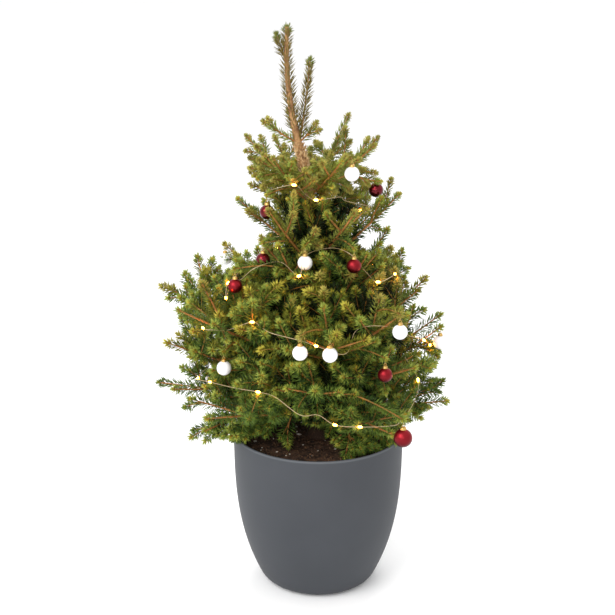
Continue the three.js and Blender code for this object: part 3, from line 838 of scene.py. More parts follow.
class Crown:
    def __init__(self):
        self.draw = seeded(fine["seed"])
        self.sky = np.array(fine["sky"], float)
        self.shoots = stems + [shoot for shoot in twigs if not self.inSky(shoot.at([1.0]))[0]]
        self.sky[:, 2:] += fine["skyMargin"]
        self.room = Room(fine["cell"])
        for shoot in self.shoots + limbs:
            self.room.add(shoot.marks())
        self.low = np.array(cadBox[0]) / mm - fine["boxMargin"]
        self.low[2] = crown["lowest"]
        self.high = np.array(cadBox[1]) / mm + fine["boxMargin"]
        carriers = [segmentsOf(shoot.path, shoot.start, crown["stemPieces"]) for shoot in self.shoots]
        carriers += [segmentsOf(limb.path, 0, crown["boughPieces"]) for limb in limbs]
        self.carriers = np.vstack(carriers + [wood])
        self.clearings = [(np.array(middle), np.array(size)) for middle, size in fine["clearings"]]

    def keep(self, shoot):
        self.shoots.append(shoot)
        self.room.add(shoot.marks())
        return shoot

    def reach(self, turn, height):  # of the crown from the trunk in a direction
        height += fine["backDrop"] * max(0, math.sin(turn))
        heights, left, right = np.array(fine["reaches"]).T
        left, right = np.interp(height, heights, left), np.interp(height, heights, right)
        return lerp(left, right, (1 + math.cos(turn)) / 2)

    def limit(self, turn, height):  # how far shoots go, with bays between them
        cut, low, high = fine["frontCut"]  # the soil lies open at the front
        droop = height + fine["backDrop"] * max(0, math.sin(turn))
        share = 1 - cut * max(0, -math.sin(turn)) * ramp(droop, high, low)
        x, y = math.cos(turn) * fine["bayTurn"], math.sin(turn) * fine["bayTurn"]
        bay = fine["bays"] * ramp(noise.noise(Vector((x, y, droop / fine["bayHeight"]))), -0.5, 0.5)
        return self.reach(turn, height) * share - fine["needleReach"] - bay

    def inSky(self, points):
        columns, rows, _ = toPhoto(points)
        places = np.stack([columns, rows], -1)[:, None]
        return (((places - self.sky[:, :2]) / self.sky[:, 2:]) ** 2).sum(-1).min(1) < 1

    def allowed(self, point):
        if not aboveGround(point) or inOpening(point, fine["opening"]):
            return False
        if (point < self.low).any() or (point > self.high).any() or self.inSky(point[None])[0]:
            return False
        return all((((point - middle) / size) ** 2).sum() > 1 for middle, size in self.clearings)

    def accept(self, shoot, room, reach):
        places, shares = zip(*fine["probes"])
        probes = shoot.at(places)
        if not all(self.allowed(p) and self.room.isFree(p, room * share) for p, share in zip(probes, shares)):
            return False
        x, y, z = probes[2] - trunkAt(probes[2][2]) * np.array([1, 1, 0])
        if math.hypot(x, y) > self.limit(math.atan2(y, x), z) + fine["spike"] * self.draw() ** 2:
            return False
        if distanceTo(self.carriers, probes[2]) > reach or distanceTo(wood, probes[0]) < fine["woodRoom"]:
            return False
        self.keep(shoot)
        return True

    def turnOff(self, roll):  # a side twig's roll and angle
        roll = math.radians(roll + jitter(self.draw, fine["rollJitter"]))
        return roll, math.radians(crown["angle"] + jitter(self.draw, fine["angleJitter"]))

    def sprout(self, parent, pitch, first, last, share, limits, order, radii, room):
        count = max(1, round(parent.length * (last - first) / pitch))
        made = 0
        for step in range(count):  # round the stem in a spiral that leaves out its underside
            at = lerp(first, last, (step + 0.5 + jitter(self.draw, fine["placeJitter"])) / count)
            spiral = (step * fine["spiral"] + parent.length) % (2 * fine["sweep"]) - fine["sweep"]
            roll, angle = self.turnOff(spiral)
            length = parent.length * share * (fine["overshoot"] - at)
            length *= 1 + jitter(self.draw, fine["lengthJitter"])
            length = min(limits[1], max(limits[0], length))
            path = twigPath(parent.path, lerp(parent.start, 1, at), roll, angle, length)
            lift = lerp(*fine["lift"], ramp(path[0][2], *fine["liftRange"]))
            path[1:, 2] += np.array(fine["liftBend"]) * lift * length
            made += self.accept(Shoot(path, parent.mass, order, radii), room, fine["reach"])
        return made

    def growTo(self, tip, order=1, radii=fine["reachRadii"], above=None, rise=None):  # from the best root
        cost = fine["carrier"]
        shares = np.linspace(*cost["places"])
        best = None
        for shoot in self.shoots:
            if shoot.order > 1:
                continue
            roots, headings = shoot.at(shares), shoot.heading(shares)
            gaps, lengths, _, costs = reachCosts(tip, roots, headings)
            outs = np.hypot(roots[:, 0], roots[:, 1])
            costs = costs + np.where(lengths < cost["shortest"], cost["short"], 0)
            costs = costs + np.where(self.inSky(roots + gaps * cost["crossing"]), cost["sky"], 0)
            inner = np.hypot(*(roots - trunkAt(tip[2]))[:, :2].T) / np.hypot(*(tip - trunkAt(tip[2]))[:2])
            costs = costs + cost["outward"] * np.maximum(0, inner - cost["outer"])  # away from the trunk
            if above is not None:  # hangs from a shoot that is higher and well out from the trunk
                costs = costs + np.where((gaps[:, 2] > -above) | (outs < cost["inmost"]), cost["low"], 0)
            if rise is not None:  # comes from the trunk's side of what it carries, not from below
                costs = costs + np.where(gaps[:, 2] > rise, cost["badSide"], 0)
                costs = costs + np.where(outs < math.hypot(tip[0], tip[1]), 0, cost["badSide"])
            pick = int(costs.argmin())
            if best is None or costs[pick] < best[0]:
                best = (costs[pick], roots[pick], headings[pick], shoot.mass)
        _, root, heading, owner = best
        grown = self.keep(Shoot(bowedPath(root, heading, tip), owner, order, radii))
        grown.free = fine["reachFree"]
        return grown

    def dress(self, shoot):  # flat spray, shorter towards the tip
        spray = fine["spray"]
        for at, side in itertools.product(spray["places"], (-1, 1)):
            roll, angle = self.turnOff(side * spray["roll"])
            length = shoot.length * spray["share"] * (spray["overshoot"] - at)
            length = min(spray["longest"], max(spray["shortest"], length))
            path = twigPath(shoot.path, at, roll, angle, length)
            ends = pointAt(path, [0.5, 1.0])
            if self.inSky(ends).any() or not all(aboveGround(point) for point in ends):
                continue
            if self.room.isFree(path[2], spray["room"]):
                self.keep(Shoot(path, shoot.mass, 3, fine["lastRadii"]))

    def cloud(self):
        return np.vstack([shoot.marks() for shoot in self.shoots])


def reachCosts(tip, roots, headings):  # the shorter and straighter a shoot to the tip, the better
    gaps = tip - roots
    lengths = np.linalg.norm(gaps, axis=1)
    turns = (gaps * headings).sum(1) / np.maximum(lengths, 1e-6)
    return gaps, lengths, turns, lengths * (fine["carrier"]["straight"] - turns)


def bowedPath(root, heading, tip):  # leaves its root partly along the stem and bends to its tip
    lead = unit(unit(tip - root) + fine["follow"] * heading)
    return np.array([root, root + lead * np.linalg.norm(tip - root) / 2, tip])


def frontOf(cloud, column, row, radius):  # depth of the nearest growth round a place in the photo
    columns, rows, depths = toPhoto(cloud)
    near = (columns - column) ** 2 + (rows - row) ** 2
    inside = near < radius * radius
    return depths[inside].min() if inside.any() else depths[near.argmin()]


def growFiner():
    tree = Crown()
    cloud = tree.cloud()
    columns, rows, depths = toPhoto(cloud)
    for column, row in fine["tips"]:
        nearest = ((columns - column) ** 2 + (rows - row) ** 2).argmin()
        tip = fromPhoto(column, row, depths[nearest])
        tip += unit(trunkAt(tip[2]) - tip) * fine["tipPull"]  # the last needles go on this far
        if np.linalg.norm(cloud - tip, axis=1).min() > fine["tipTaken"]:
            grown = tree.growTo(tip)
            if row > fine["spray"]["fromRow"]:
                tree.dress(grown)
    for column, row, y in fine["hanging"]:
        tree.dress(tree.growTo(onRay(column, row, 1, y), above=fine["hangBelow"]))
    return tree


tree = growFiner()
print("reaching tips: now", len(tree.shoots), "shoots")

# Baubles: where they hang, each on a shoot that grows out to it
baubles = {
    "size": 9.7, "large": 12.2, "cap": 4.6, "loop": 3.2, "thread": 5.0, "neck": 0.24,
    "search": (1480.0, 2000.0, 2.0), "look": 15, "before": 7, "beyond": 3, "spread": 14, "bareReach": 60,
    "carrier": {"order": 4, "radii": (1.2, 0.8), "rise": 12},
    "clearAhead": 24, "clearRoom": 4.0, "clearLength": 32,  # what stays open before a ball
    "seen": (  # photo column, row, kind, how far it hangs behind the crown's front
        (352, 174, "white", 0), (305, 263, "white", 0), (400, 332, "white", 0), (300, 353, "white", 0),
        (330, 355, "white", 0), (224, 368, "white", 0), (440, 342, "white", 0), (376, 190, "gloss", 20),
        (267, 212, "gloss", 30), (263, 260, "gloss", 0), (235, 286, "satin", 0), (354, 266, "satin", 0),
        (385, 375, "satin", 0), (403, 438, "large", 0),
    ),
    "behind": (  # turn about the trunk, height, kind, for the sides that the photo doesn't show
        (38, 560, "white"), (100, 548, "gloss"), (140, 505, "white"), (70, 440, "satin"), (48, 420, "gloss"),
        (128, 428, "white"), (105, 385, "white"), (58, 345, "satin"), (34, 330, "white"), (135, 350, "gloss"),
        (150, 305, "satin"), (88, 290, "white"),
    ),
}


def outermost(cloud, turn, height, spread, share=100):  # furthest growth in a direction from the trunk
    away = np.array([math.cos(math.radians(turn)), math.sin(math.radians(turn))])
    centred = cloud[:, :2] - np.array([trunkAt(height)[0], 0])
    out = centred @ away
    aside = np.abs(centred @ np.array([-away[1], away[0]]))
    near = (aside < spread) & (np.abs(cloud[:, 2] - height) < spread) & (out > 0)
    return (np.percentile(out[near], share) if near.any() else baubles["bareReach"]), away


def crownFront(column, row, edge, share=1.0):  # depth where a sight line enters the crown
    for depth in np.arange(*baubles["search"]):
        place = fromPhoto(column, row, depth)
        x, y = place[:2] - trunkAt(place[2])[:2]
        if math.hypot(x, y) < share * edge(math.atan2(y, x), place[2]) or y > 0:
            return depth
    return baubles["search"][1]


def hookOver(place, size):
    return place + np.array([0, 0, size + baubles["cap"] + baubles["loop"] + baubles["thread"]])


def hangBaubles():
    cloud = tree.cloud()
    hung = []
    for column, row, kind, behind in baubles["seen"]:
        size = baubles["large"] if kind == "large" else baubles["size"]
        front = frontOf(cloud, column, row, baubles["look"]) - baubles["before"]
        depth = min(front, crownFront(column, row, tree.limit)) + behind
        hung.append((fromPhoto(column, row, depth), size, kind, not behind))
    for turn, height, kind in baubles["behind"]:
        reach, away = outermost(cloud, turn, height, baubles["spread"])
        place = trunkAt(height)
        place[:2] += away * (max(reach, tree.limit(math.radians(turn), height)) + baubles["beyond"])
        hung.append((place, baubles["size"], kind, True))
    for place, size, kind, clear in hung:
        tree.growTo(hookOver(place, size), **baubles["carrier"])
        if clear:
            view = unit(place - cameraPlace) if place[1] < 0 else unit(trunkAt(place[2]) - place)
            room = np.full(3, baubles["clearRoom"]) + size + baubles["clearLength"] * np.abs(view)
            tree.clearings.append((place - view * baubles["clearAhead"], room))
    return hung


hung = hangBaubles()
print("baubles:", len(hung), "places, each with its carrying shoot")


# Growth that fills the crown round the baubles
def fillCrown():
    first = [shoot for shoot in tree.shoots if shoot.mass != "needles_leader"]
    made = 0
    for shoot in first:
        if shoot.order == 0:
            made += tree.sprout(shoot, *fine["fill"]["stem"])
    for shoot in first:
        if shoot.order == 1:
            pitch, start, end, *rest = fine["fill"]["side"]
            made += tree.sprout(shoot, pitch, start, end * shoot.free, *rest)
    for limb in limbs:
        made += tree.sprout(limb, *fine["fill"]["limb"])
    whorl = fine["whorl"]
    for step, height in enumerate(np.arange(*whorl["heights"])):
        turn = step * math.radians(fine["spiral"])
        out = unit(np.array([math.cos(turn), math.sin(turn), whorl["rise"]]))
        root = trunkAt(height)
        length = whorl["length"] + jitter(tree.draw, whorl["jitter"])
        tip = root + out * length + np.array([0, 0, whorl["lift"]])
        shoot = Shoot(np.array([root, root + out * length / 2, tip]), "needles_cone_1", 3, whorl["radii"])
        made += tree.accept(shoot, whorl["room"], whorl["reach"])
    second = [shoot for shoot in tree.shoots if shoot.order in (2, 3) and shoot.length > fine["lastFrom"]]
    for shoot in second:
        made += tree.sprout(shoot, *fine["fill"]["last"])
    return made


def fillGaps(tries, room, near, far):  # shoots that reach what is still empty between the trunk and the edge
    parents = [shoot for shoot in tree.shoots if shoot.order < 4 and shoot.mass != "needles_leader"]
    shares = np.linspace(*fine["dartRoots"])
    roots = np.vstack([shoot.at(shares) for shoot in parents])
    headings = np.vstack([shoot.heading(shares) for shoot in parents])
    shortest, longest = fine["dartLengths"]
    made = 0
    for _ in range(tries):
        height, turn = lerp(*fine["dartRange"], tree.draw()), 2 * math.pi * tree.draw()
        out = tree.limit(turn, height) * lerp(near, far, tree.draw() ** 0.5)
        out += fine["spike"] * tree.draw() ** 3 if far == 1 else 0
        tip = trunkAt(height) + out * np.array([math.cos(turn), math.sin(turn), 0])
        if not tree.allowed(tip) or not tree.room.isFree(tip, room):
            continue
        _, lengths, turns, costs = reachCosts(tip, roots, headings)
        unfit = (lengths < shortest) | (lengths > longest) | (turns < fine["dartTurn"])
        costs = costs + np.where(unfit, fine["tooDear"], 0)
        pick = int(costs.argmin())
        if costs[pick] > fine["tooDear"]:
            continue
        path = bowedPath(roots[pick], headings[pick], tip)
        grown = Shoot(path, parents[pick // len(shares)].mass, 3, fine["lastRadii"])
        if all(tree.allowed(point) for point in grown.at(fine["dartProbes"])):
            tree.keep(grown)
            made += 1
    return made


print("finer shoots:", fillCrown(), "and in gaps", [fillGaps(*darts) for darts in fine["darts"]])
grownLength = sum(shoot.length for shoot in tree.shoots) * mm
print("in all", len(tree.shoots), "shoots,", round(grownLength, 1), "m")

# Bark: trunk and boughs with their relief
bark = {
    "trunkSides": 40, "boughSides": 16, "step": 1.6, "sunk": 3, "boughOver": 0.01, "boughTaper": 0.5,
    "plate": (5, 5, 11), "plateRise": 0.055, "pegRise": 0.34, "pegs": ((1.25, 5), (0.9, -8)),
    "tans": (tint(126, 90, 58), tint(190, 148, 100)), "aged": tint(58, 42, 31), "agedBelow": (0.23, 0.3),
    "flake": tint(92, 68, 50), "upright": 0.8,
}
leaders = [shoot for shoot in tree.shoots
           if shoot.mass == "needles_leader" and shoot.heading(0.5)[2] > bark["upright"]]


def barkLumps(points, turn, reach):  # flaking plates and the pegs that needles leave behind
    lumps = np.zeros(reach.shape)
    (rise, winding), (otherRise, otherWinding) = bark["pegs"]
    wide, deep, tall = bark["plate"]
    for ring, side in np.ndindex(reach.shape):
        x, y, z = points[ring, side]
        plate = noise.fractal(Vector((x / wide, y / deep, z / tall)), 1.0, 2.0, 3)
        peg = math.sin(z * rise + turn[side] * winding) * math.sin(z * otherRise + turn[side] * otherWinding)
        lumps[ring, side] = bark["plateRise"] * reach[ring, side] * plate + bark["pegRise"] * max(0, peg) ** 2
    return lumps


def buildBark():
    skin = Joined()
    heights = np.arange(crown["foot"] - bark["sunk"], crown["fork"] + bark["sunk"], bark["step"])
    centres = np.array([trunkAt(height) for height in heights])
    radii = [trunkRadius(max(height, crown["foot"])) for height in heights]
    skin.add(*tube(centres, radii, bark["trunkSides"], barkLumps))
    for limb in limbs:
        rings = int(limb.length * crown["boughEnd"] / bark["step"])
        shares = np.linspace(0, crown["boughEnd"] + bark["boughOver"], rings)
        radii = lerp(limb.radii[0], limb.radii[1] - bark["boughTaper"], shares / shares[-1])
        skin.add(*tube(limb.at(shares), radii, bark["boughSides"], barkLumps))
    for shoot in leaders:
        shares = np.linspace(0, 1, int(shoot.length / bark["step"]))
        skin.add(*tube(shoot.at(shares), shoot.girth(shares), bark["boughSides"], barkLumps))
    rind = Finish("spruceBark", {"Specular IOR Level": 0.25})
    plates = rind.grain(110, 4, 0.6)
    flakes = rind.grain(420, 3, 0.6)
    tan = rind.blend(rind.between(plates, 0.38, 0.64), *bark["tans"])
    height = rind.node("ShaderNodeSeparateXYZ", {}, {"Vector": rind.place}, "Z")
    aged = rind.blend(rind.between(height, *bark["agedBelow"]), bark["aged"], tan)  # darker towards the soil
    rind.show({
        "Base Color": rind.blend(rind.between(flakes, 0.56, 0.72), aged, bark["flake"]),
        "Roughness": 0.72 + 0.2 * flakes,
        "Normal": rind.relief(plates + flakes * 0.5, 0.6, 0.0008),
    })
    return settle(skin.make("bark", rind), "bark", ["trunk"] + [limb.mass for limb in limbs])


buildBark()
print("bark: trunk and", len(limbs), "boughs")

# Twigs: the stems of all shoots, each with a bud at its end
twig = {
    "sides": (8, 6, 5, 4, 5), "step": (5, 7, 9, 10, 7),  # by the shoot's order
    "old": (tint(146, 94, 44), tint(200, 138, 76), tint(110, 68, 32)),  # rind, its lighter places, its scars
    "young": (tint(134, 98, 42), tint(182, 130, 64), tint(98, 70, 30)),
    "bud": (1.1, 1.8), "budSides": 6, "budRings": 4, "budAhead": 0.6,
    "scales": {
        "fixed": {"Specular IOR Level": 0.35}, "grain": (900, 2), "band": (0.35, 0.65),
        "tints": (tint(150, 118, 56), tint(116, 86, 40)), "rough": (0.55, 0.2), "relief": (0.5, 0.0003),
    },
}


def buildTwigs():
    skins = {"old": Joined(), "young": Joined()}
    for shoot in tree.shoots:
        if shoot in leaders:
            continue
        sides, step = twig["sides"][shoot.order], twig["step"][shoot.order]
        shares = np.linspace(0, 1, max(3, int(shoot.length / step) + 1))
        skins["old" if shoot.order < 2 else "young"].add(*tube(shoot.at(shares), shoot.girth(shares), sides))
    for age, skin in skins.items():
        dark, light, scar = twig[age]
        rind = Finish(age + "Rind", {"Specular IOR Level": 0.3})
        tone = rind.grain(60, 3)
        scars = rind.grain(700, 2)
        plain = rind.blend(rind.between(tone, 0.35, 0.65), dark, light)
        rind.show({
            "Base Color": rind.blend(rind.between(scars, 0.55, 0.75), plain, scar),
            "Roughness": 0.6 + 0.2 * tone,
            "Normal": rind.relief(scars, 0.5, 0.0003),
        })
        piece = settle(skin.make(f"twigs_{age}", rind), "bark", massNames if age == "old" else ())
        print(piece.name, len(piece.data.polygons), "faces")


def buildBuds():
    buds = Joined()
    wide, half = twig["bud"]
    turns = np.linspace(0, math.pi, twig["budRings"] + 2)[1:-1]
    for shoot in tree.shoots:
        centres = shoot.at(1.0) + np.outer(half * (twig["budAhead"] - np.cos(turns)), shoot.heading(1.0))
        buds.add(*tube(centres, wide * np.sin(turns), twig["budSides"]))
    return settle(buds.make("buds", grained("budScales", **twig["scales"])), "bark")


buildTwigs()
buildBuds()

# Needles: sprays that follow the shoots, each spray with one tint
needle = {
    "width": 1.75, "thick": 1.2, "widest": 0.42, "hook": 0.0004, "firstCorner": 0.5,
    "most": 31000, "sunk": 0.7, "mark": 3, "stretch": (0.82, 1.12), "goldenTurn": 2.39996,
    "parts": {  # pitch along the shoot in metres, scatter of the leans
        "body": (0.0006, 0.2), "tip": (0.00021, 0.26), "inner": (0.00045, 0.26), "sparse": (0.0004, 0.2),
        "hair": (0.00012, 0.4), "heart": (0.00024, 0.35),
    },
    # deep needles are broader, so their painted shade fills the crown's inside
    "broad": {"deep": 1.5, "sparse": 0.75},
    "tints": {  # colour and a near shade of it
        # deep is a dark green for sprays inside the crown: painted shade
        "deep": (tint(34, 47, 11), tint(18, 27, 5)), "mid": (tint(66, 93, 32), tint(38, 60, 18)),
        "leaf": (tint(107, 129, 48), tint(70, 93, 30)), "olive": (tint(132, 134, 42), tint(90, 95, 24)),
        "umber": (tint(156, 164, 74), tint(108, 118, 46)), "dusk": (tint(136, 120, 56), tint(94, 84, 35)),
        "fresh": (tint(166, 178, 80), tint(116, 132, 46)), "bright": (tint(196, 186, 72), tint(150, 142, 46)),
        "gold": (tint(214, 180, 60), tint(170, 142, 40)), "bronze": (tint(188, 174, 84), tint(140, 128, 54)),
        "lime": (tint(126, 134, 60), tint(96, 106, 42)), "dry": (tint(226, 192, 142), tint(176, 136, 92)),
    },
    "grain": 110, "seed": 5, "patch": 0.24, "patchSize": 24.0,  # clumps that are darker or lighter
    "slice": 22, "edge": 92,  # half height of a slice of the crown, percentile that counts as its edge
    "topRange": (480, 600), "warmRange": (312, 642), "warmLuck": 0.9, "oliveFrom": 0.45, "umberFrom": 0.85,
    # sprays inside the crown take the deep tint: painted shade
    "deepRange": (258, 570), "deepWithin": 0.6, "mixWithin": 0.8, "deepLuck": 0.5, "oliveLuck": 0.7,
    "shadeBelow": 330, "shadeLuck": 0.5, "brightFrom": 0.6, "bronzeFrom": 0.72,
    "body": ((15.5, 0.82, 60, 42), (12.0, 0.65, 48, 32)),  # low and high: length, its share at the end, leans
    "tip": ((10.2, 0.8, 74, 8), (7.4, 0.6, 76, 14)), "tipLength": 7.5, "tipMost": 0.4,
    "bare": (22, 6, 2, 2, 2), "bareMost": 0.3, "carrier": 0.75, "paleFrom": 0.45,  # bare foot by order
    "heart": (5.6, 0.85, 44, 10), "heartLength": 2.6,
    "hearts": {"fresh": "gold", "olive": "gold", "leaf": "bright", "bronze": "umber"},
    "leader": (15.0, 0.75, 44, 34), "leaderTip": (8.6, 0.8, 74, 10),
    "hairRange": (552, 629), "hair": (9.5, 28), "hairMarks": 16,
}


def needleShape():  # a slim spindle with a point at each end, a little hooked
    wide, thick = needle["width"] / 2 * mm, needle["thick"] / 2 * mm
    turns = [needle["firstCorner"] + 2 * math.pi * corner / 3 for corner in range(3)]
    ring = [(math.cos(turn) * wide, math.sin(turn) * thick, needle["widest"]) for turn in turns]
    mesh = bpy.data.meshes.new("needleShape")
    mesh.from_pydata([(0, 0, 0)] + ring + [(needle["hook"], 0, 1)], [],
                     [(0, 2, 1), (0, 3, 2), (0, 1, 3), (4, 1, 2), (4, 2, 3), (4, 3, 1)])
    mesh.polygons.foreach_set("use_smooth", [True] * len(mesh.polygons))
    return newObject("needleShape", mesh)


def sprayRule():
    rule = Rule("needleSprays", {"Needle": "Object", "Pitch": "Float", "Scatter": "Float", "Broad": "Float"})
    line = rule.node("GeometryNodeMeshToCurve", {}, {"Mesh": rule.take("Geometry")})
    sockets = {"Curve": line, "Length": rule.take("Pitch")}
    feet = rule.node("GeometryNodeCurveToPoints", {"mode": "LENGTH"}, sockets)
    axis, side = rule.attribute("axis", "FLOAT_VECTOR"), rule.attribute("side", "FLOAT_VECTOR")
    lean, size, girth = (rule.attribute(label, "FLOAT") for label in ("lean", "size", "girth"))
    turn = rule.node("GeometryNodeInputIndex", {}, {}) * needle["goldenTurn"] + rule.chance(-0.5, 0.5, 1)
    outward = rule.fan(side, rule.vector("CROSS_PRODUCT", axis, side), turn)
    heading = rule.fan(axis, outward, lean + rule.chance(-1.0, 1.0, 2) * rule.take("Scatter"))
    aim = rule.node("FunctionNodeAlignRotationToVector", {"axis": "Z"}, {"Vector": heading})
    stretch = size * rule.chance(*needle["stretch"], 3)
    scale = rule.node("ShaderNodeCombineXYZ", {}, {0: rule.take("Broad"), 1: rule.take("Broad"), 2: stretch})
    shape = rule.node("GeometryNodeObjectInfo", {}, {"Object": rule.take("Needle")}, "Geometry")
    sockets = {"Geometry": feet, "Offset": rule.vector("SCALE", outward, girth)}
    onRind = rule.node("GeometryNodeSetPosition", {}, sockets)
    sockets = {"Points": onRind, "Instance": shape, "Rotation": aim, "Scale": scale}
    rule.close(rule.node("GeometryNodeInstanceOnPoints", {}, sockets))
    return rule


class Guide:  # lines that needles follow, with what each point says about its needles
    def __init__(self):
        self.points, self.edges, self.masses = [], [], set()
        self.says = {label: [] for label in ("axis", "side", "lean", "size", "girth")}
        self.count = 0
        self.needles = 0

    def add(self, shoot, shares, lean, size, pitch):
        along = shoot.heading(shares)
        told = (along, sideways(along), lean, size * mm, shoot.girth(shares) * needle["sunk"] * mm)
        for values, value in zip(self.says.values(), told):
            values.append(value)
        self.points.append(shoot.at(shares) * mm)
        self.edges += [(self.count + n, self.count + n + 1) for n in range(len(shares) - 1)]
        self.count += len(shares)
        self.needles += int(shoot.length * (shares[-1] - shares[0]) * mm / pitch) + 1
        self.masses.add(shoot.mass)

    def mesh(self, name):
        mesh = bpy.data.meshes.new(name)
        mesh.from_pydata(np.vstack(self.points).tolist(), self.edges, [])
        for label, values in self.says.items():
            kind, field = ("FLOAT_VECTOR", "vector") if values[0].ndim > 1 else ("FLOAT", "value")
            data = mesh.attributes.new(label, kind, "POINT").data
            data.foreach_set(field, np.concatenate(values).astype(np.float32).ravel())
        return mesh


def tintsOf(height, outer, draw):  # colours of a spray's body and tip, and the kind of tip; inner sprays get the deep tint as painted shade
    luck = draw()
    warm = ramp(height, *needle["warmRange"]) + needle["warmLuck"] * (draw() - 0.5)
    plain = "mid" if warm < needle["oliveFrom"] else "olive" if warm < needle["umberFrom"] else "umber"
    low, high = needle["deepRange"]
    inside = low < height < high
    # inside the crown: a deep body, painted shade
    if inside and outer < needle["deepWithin"]:
        return "deep", "mid", "inner"
    if height < needle["shadeBelow"] and luck < needle["shadeLuck"]:
        return plain, "leaf", "tip"
    if inside and outer < needle["mixWithin"]:
        body = "deep" if luck < needle["deepLuck"] else plain
        return body, "olive" if luck < needle["oliveLuck"] else "fresh", "tip"
    if warm < needle["brightFrom"]:
        return plain, "fresh", "tip"
    pale = warm < needle["bronzeFrom"] and height < needle["topRange"][0]
    return plain, "bright" if pale else "bronze", "tip"


def runsOf(shoot, outer, draw):  # stretches of a shoot: first and last share, part, colour, needles' form
    height = shoot.at(1.0)[2]
    high = ramp(height, *needle["topRange"])  # the top's needles lie closer
    bodyForm = [lerp(low, top, high) for low, top in zip(*needle["body"])]
    tipForm = [lerp(low, top, high) for low, top in zip(*needle["tip"])]
    bodyPart, (body, end, tipPart) = "body", tintsOf(height, outer, draw)
    if shoot in leaders:
        bodyPart, body, end = "sparse", "dusk", "lime"
        bodyForm, tipForm = list(needle["leader"]), needle["leaderTip"]
    if shoot.order == baubles["carrier"]["order"]:
        bodyForm[0] *= needle["carrier"]
    tipStart = 1 - min(needle["tipMost"], needle["tipLength"] / shoot.length)
    bare = min(needle["bareMost"], needle["bare"][shoot.order] / shoot.length)
    runs = [(bare, tipStart, bodyPart, body, bodyForm), (tipStart, 1, tipPart, end, tipForm)]
    if body == "mid":  # paler towards the tip
        half = lerp(bare, tipStart, needle["paleFrom"])
        longest, _, lean, _ = bodyForm
        runs[0] = (bare, half, bodyPart, body, (longest, 1, lean, lean))
        runs.append((half, tipStart, bodyPart, "leaf", bodyForm))
    if end in needle["hearts"]:
        heartStart = 1 - needle["heartLength"] / shoot.length
        runs.append((heartStart, 1, "heart", needle["hearts"][end], needle["heart"]))
    return runs


def dealSprays():
    draw = seeded(needle["seed"])
    cloud = tree.cloud()
    heights = cloud[:, 2]
    spread = np.hypot(cloud[:, 0], cloud[:, 1])
    guides = {}

    def guideFor(colour, part, extra):
        stack = guides.setdefault((colour, part), [Guide()])
        if stack[-1].needles + extra > needle["most"]:
            stack.append(Guide())
        return stack[-1]

    for shoot in tree.shoots:
        tip = shoot.at(1.0)
        widest = np.percentile(spread[np.abs(heights - tip[2]) < needle["slice"]], needle["edge"])
        outer = math.hypot(tip[0], tip[1]) / max(widest, 1)
        outer += needle["patch"] * noise.noise(Vector(tip) / needle["patchSize"])
        for low, up, part, colour, form in runsOf(shoot, outer, draw):
            length, endShare, lean, endLean = form
            shares = np.linspace(low, up, max(3, int(shoot.length * (up - low) / needle["mark"]) + 1))
            along = ((shares - low) / (up - low)) ** 2
            leans, lengths = np.radians(lerp(lean, endLean, along)), length * lerp(1, endShare, along)
            pitch = needle["parts"][part][0]
            extra = int(shoot.length * (up - low) * mm / pitch) + 1
            guideFor(colour, part, extra).add(shoot, shares, leans, lengths, pitch)
    # dry needles that still cling to the trunk below its fork
    low, top = (trunkAt(height) for height in needle["hairRange"])
    middle = 2 * trunkAt((low[2] + top[2]) / 2) - (low + top) / 2
    upper = Shoot(np.array([low, middle, top]), "trunk", 0, (trunkRadius(low[2]), trunkRadius(top[2])))
    length, lean = needle["hair"]
    shares = np.linspace(0, 1, needle["hairMarks"])
    leans, lengths = np.full(len(shares), math.radians(lean)), np.full(len(shares), length)
    guideFor("dry", "hair", 0).add(upper, shares, leans, lengths, needle["parts"]["hair"][0])
    return guides


def buildNeedles():
    rule = sprayRule()
    shape = needleShape()
    finishes = {}
    for colour, tints in needle["tints"].items():
        skin = Finish(colour + "Needles", {"Specular IOR Level": 0.18})
        change = skin.between(skin.grain(needle["grain"], 2), 0.36, 0.64)
        skin.show({"Base Color": skin.blend(change, *tints), "Roughness": 0.42 + 0.16 * change})
        finishes[colour] = skin
    total = 0
    for (colour, part), stack in dealSprays().items():
        pitch, scatter = needle["parts"][part]
        broad = needle["broad"].get(colour, 1.0) * needle["broad"].get(part, 1.0)
        values = {"Needle": shape, "Pitch": pitch, "Scatter": scatter, "Broad": broad}
        for number, guide in enumerate(stack):
            name = f"needles_{colour}_{part}_{number + 1}"
            piece = rule.make(name, guide.mesh(name + "Lines"), values, finishes[colour])
            settle(piece, "needles", sorted(guide.masses))
            total += len(piece.data.polygons)
            print(name, len(piece.data.polygons), "faces")
    bpy.data.objects.remove(shape)
    print("needles:", total, "faces in all")


buildNeedles()

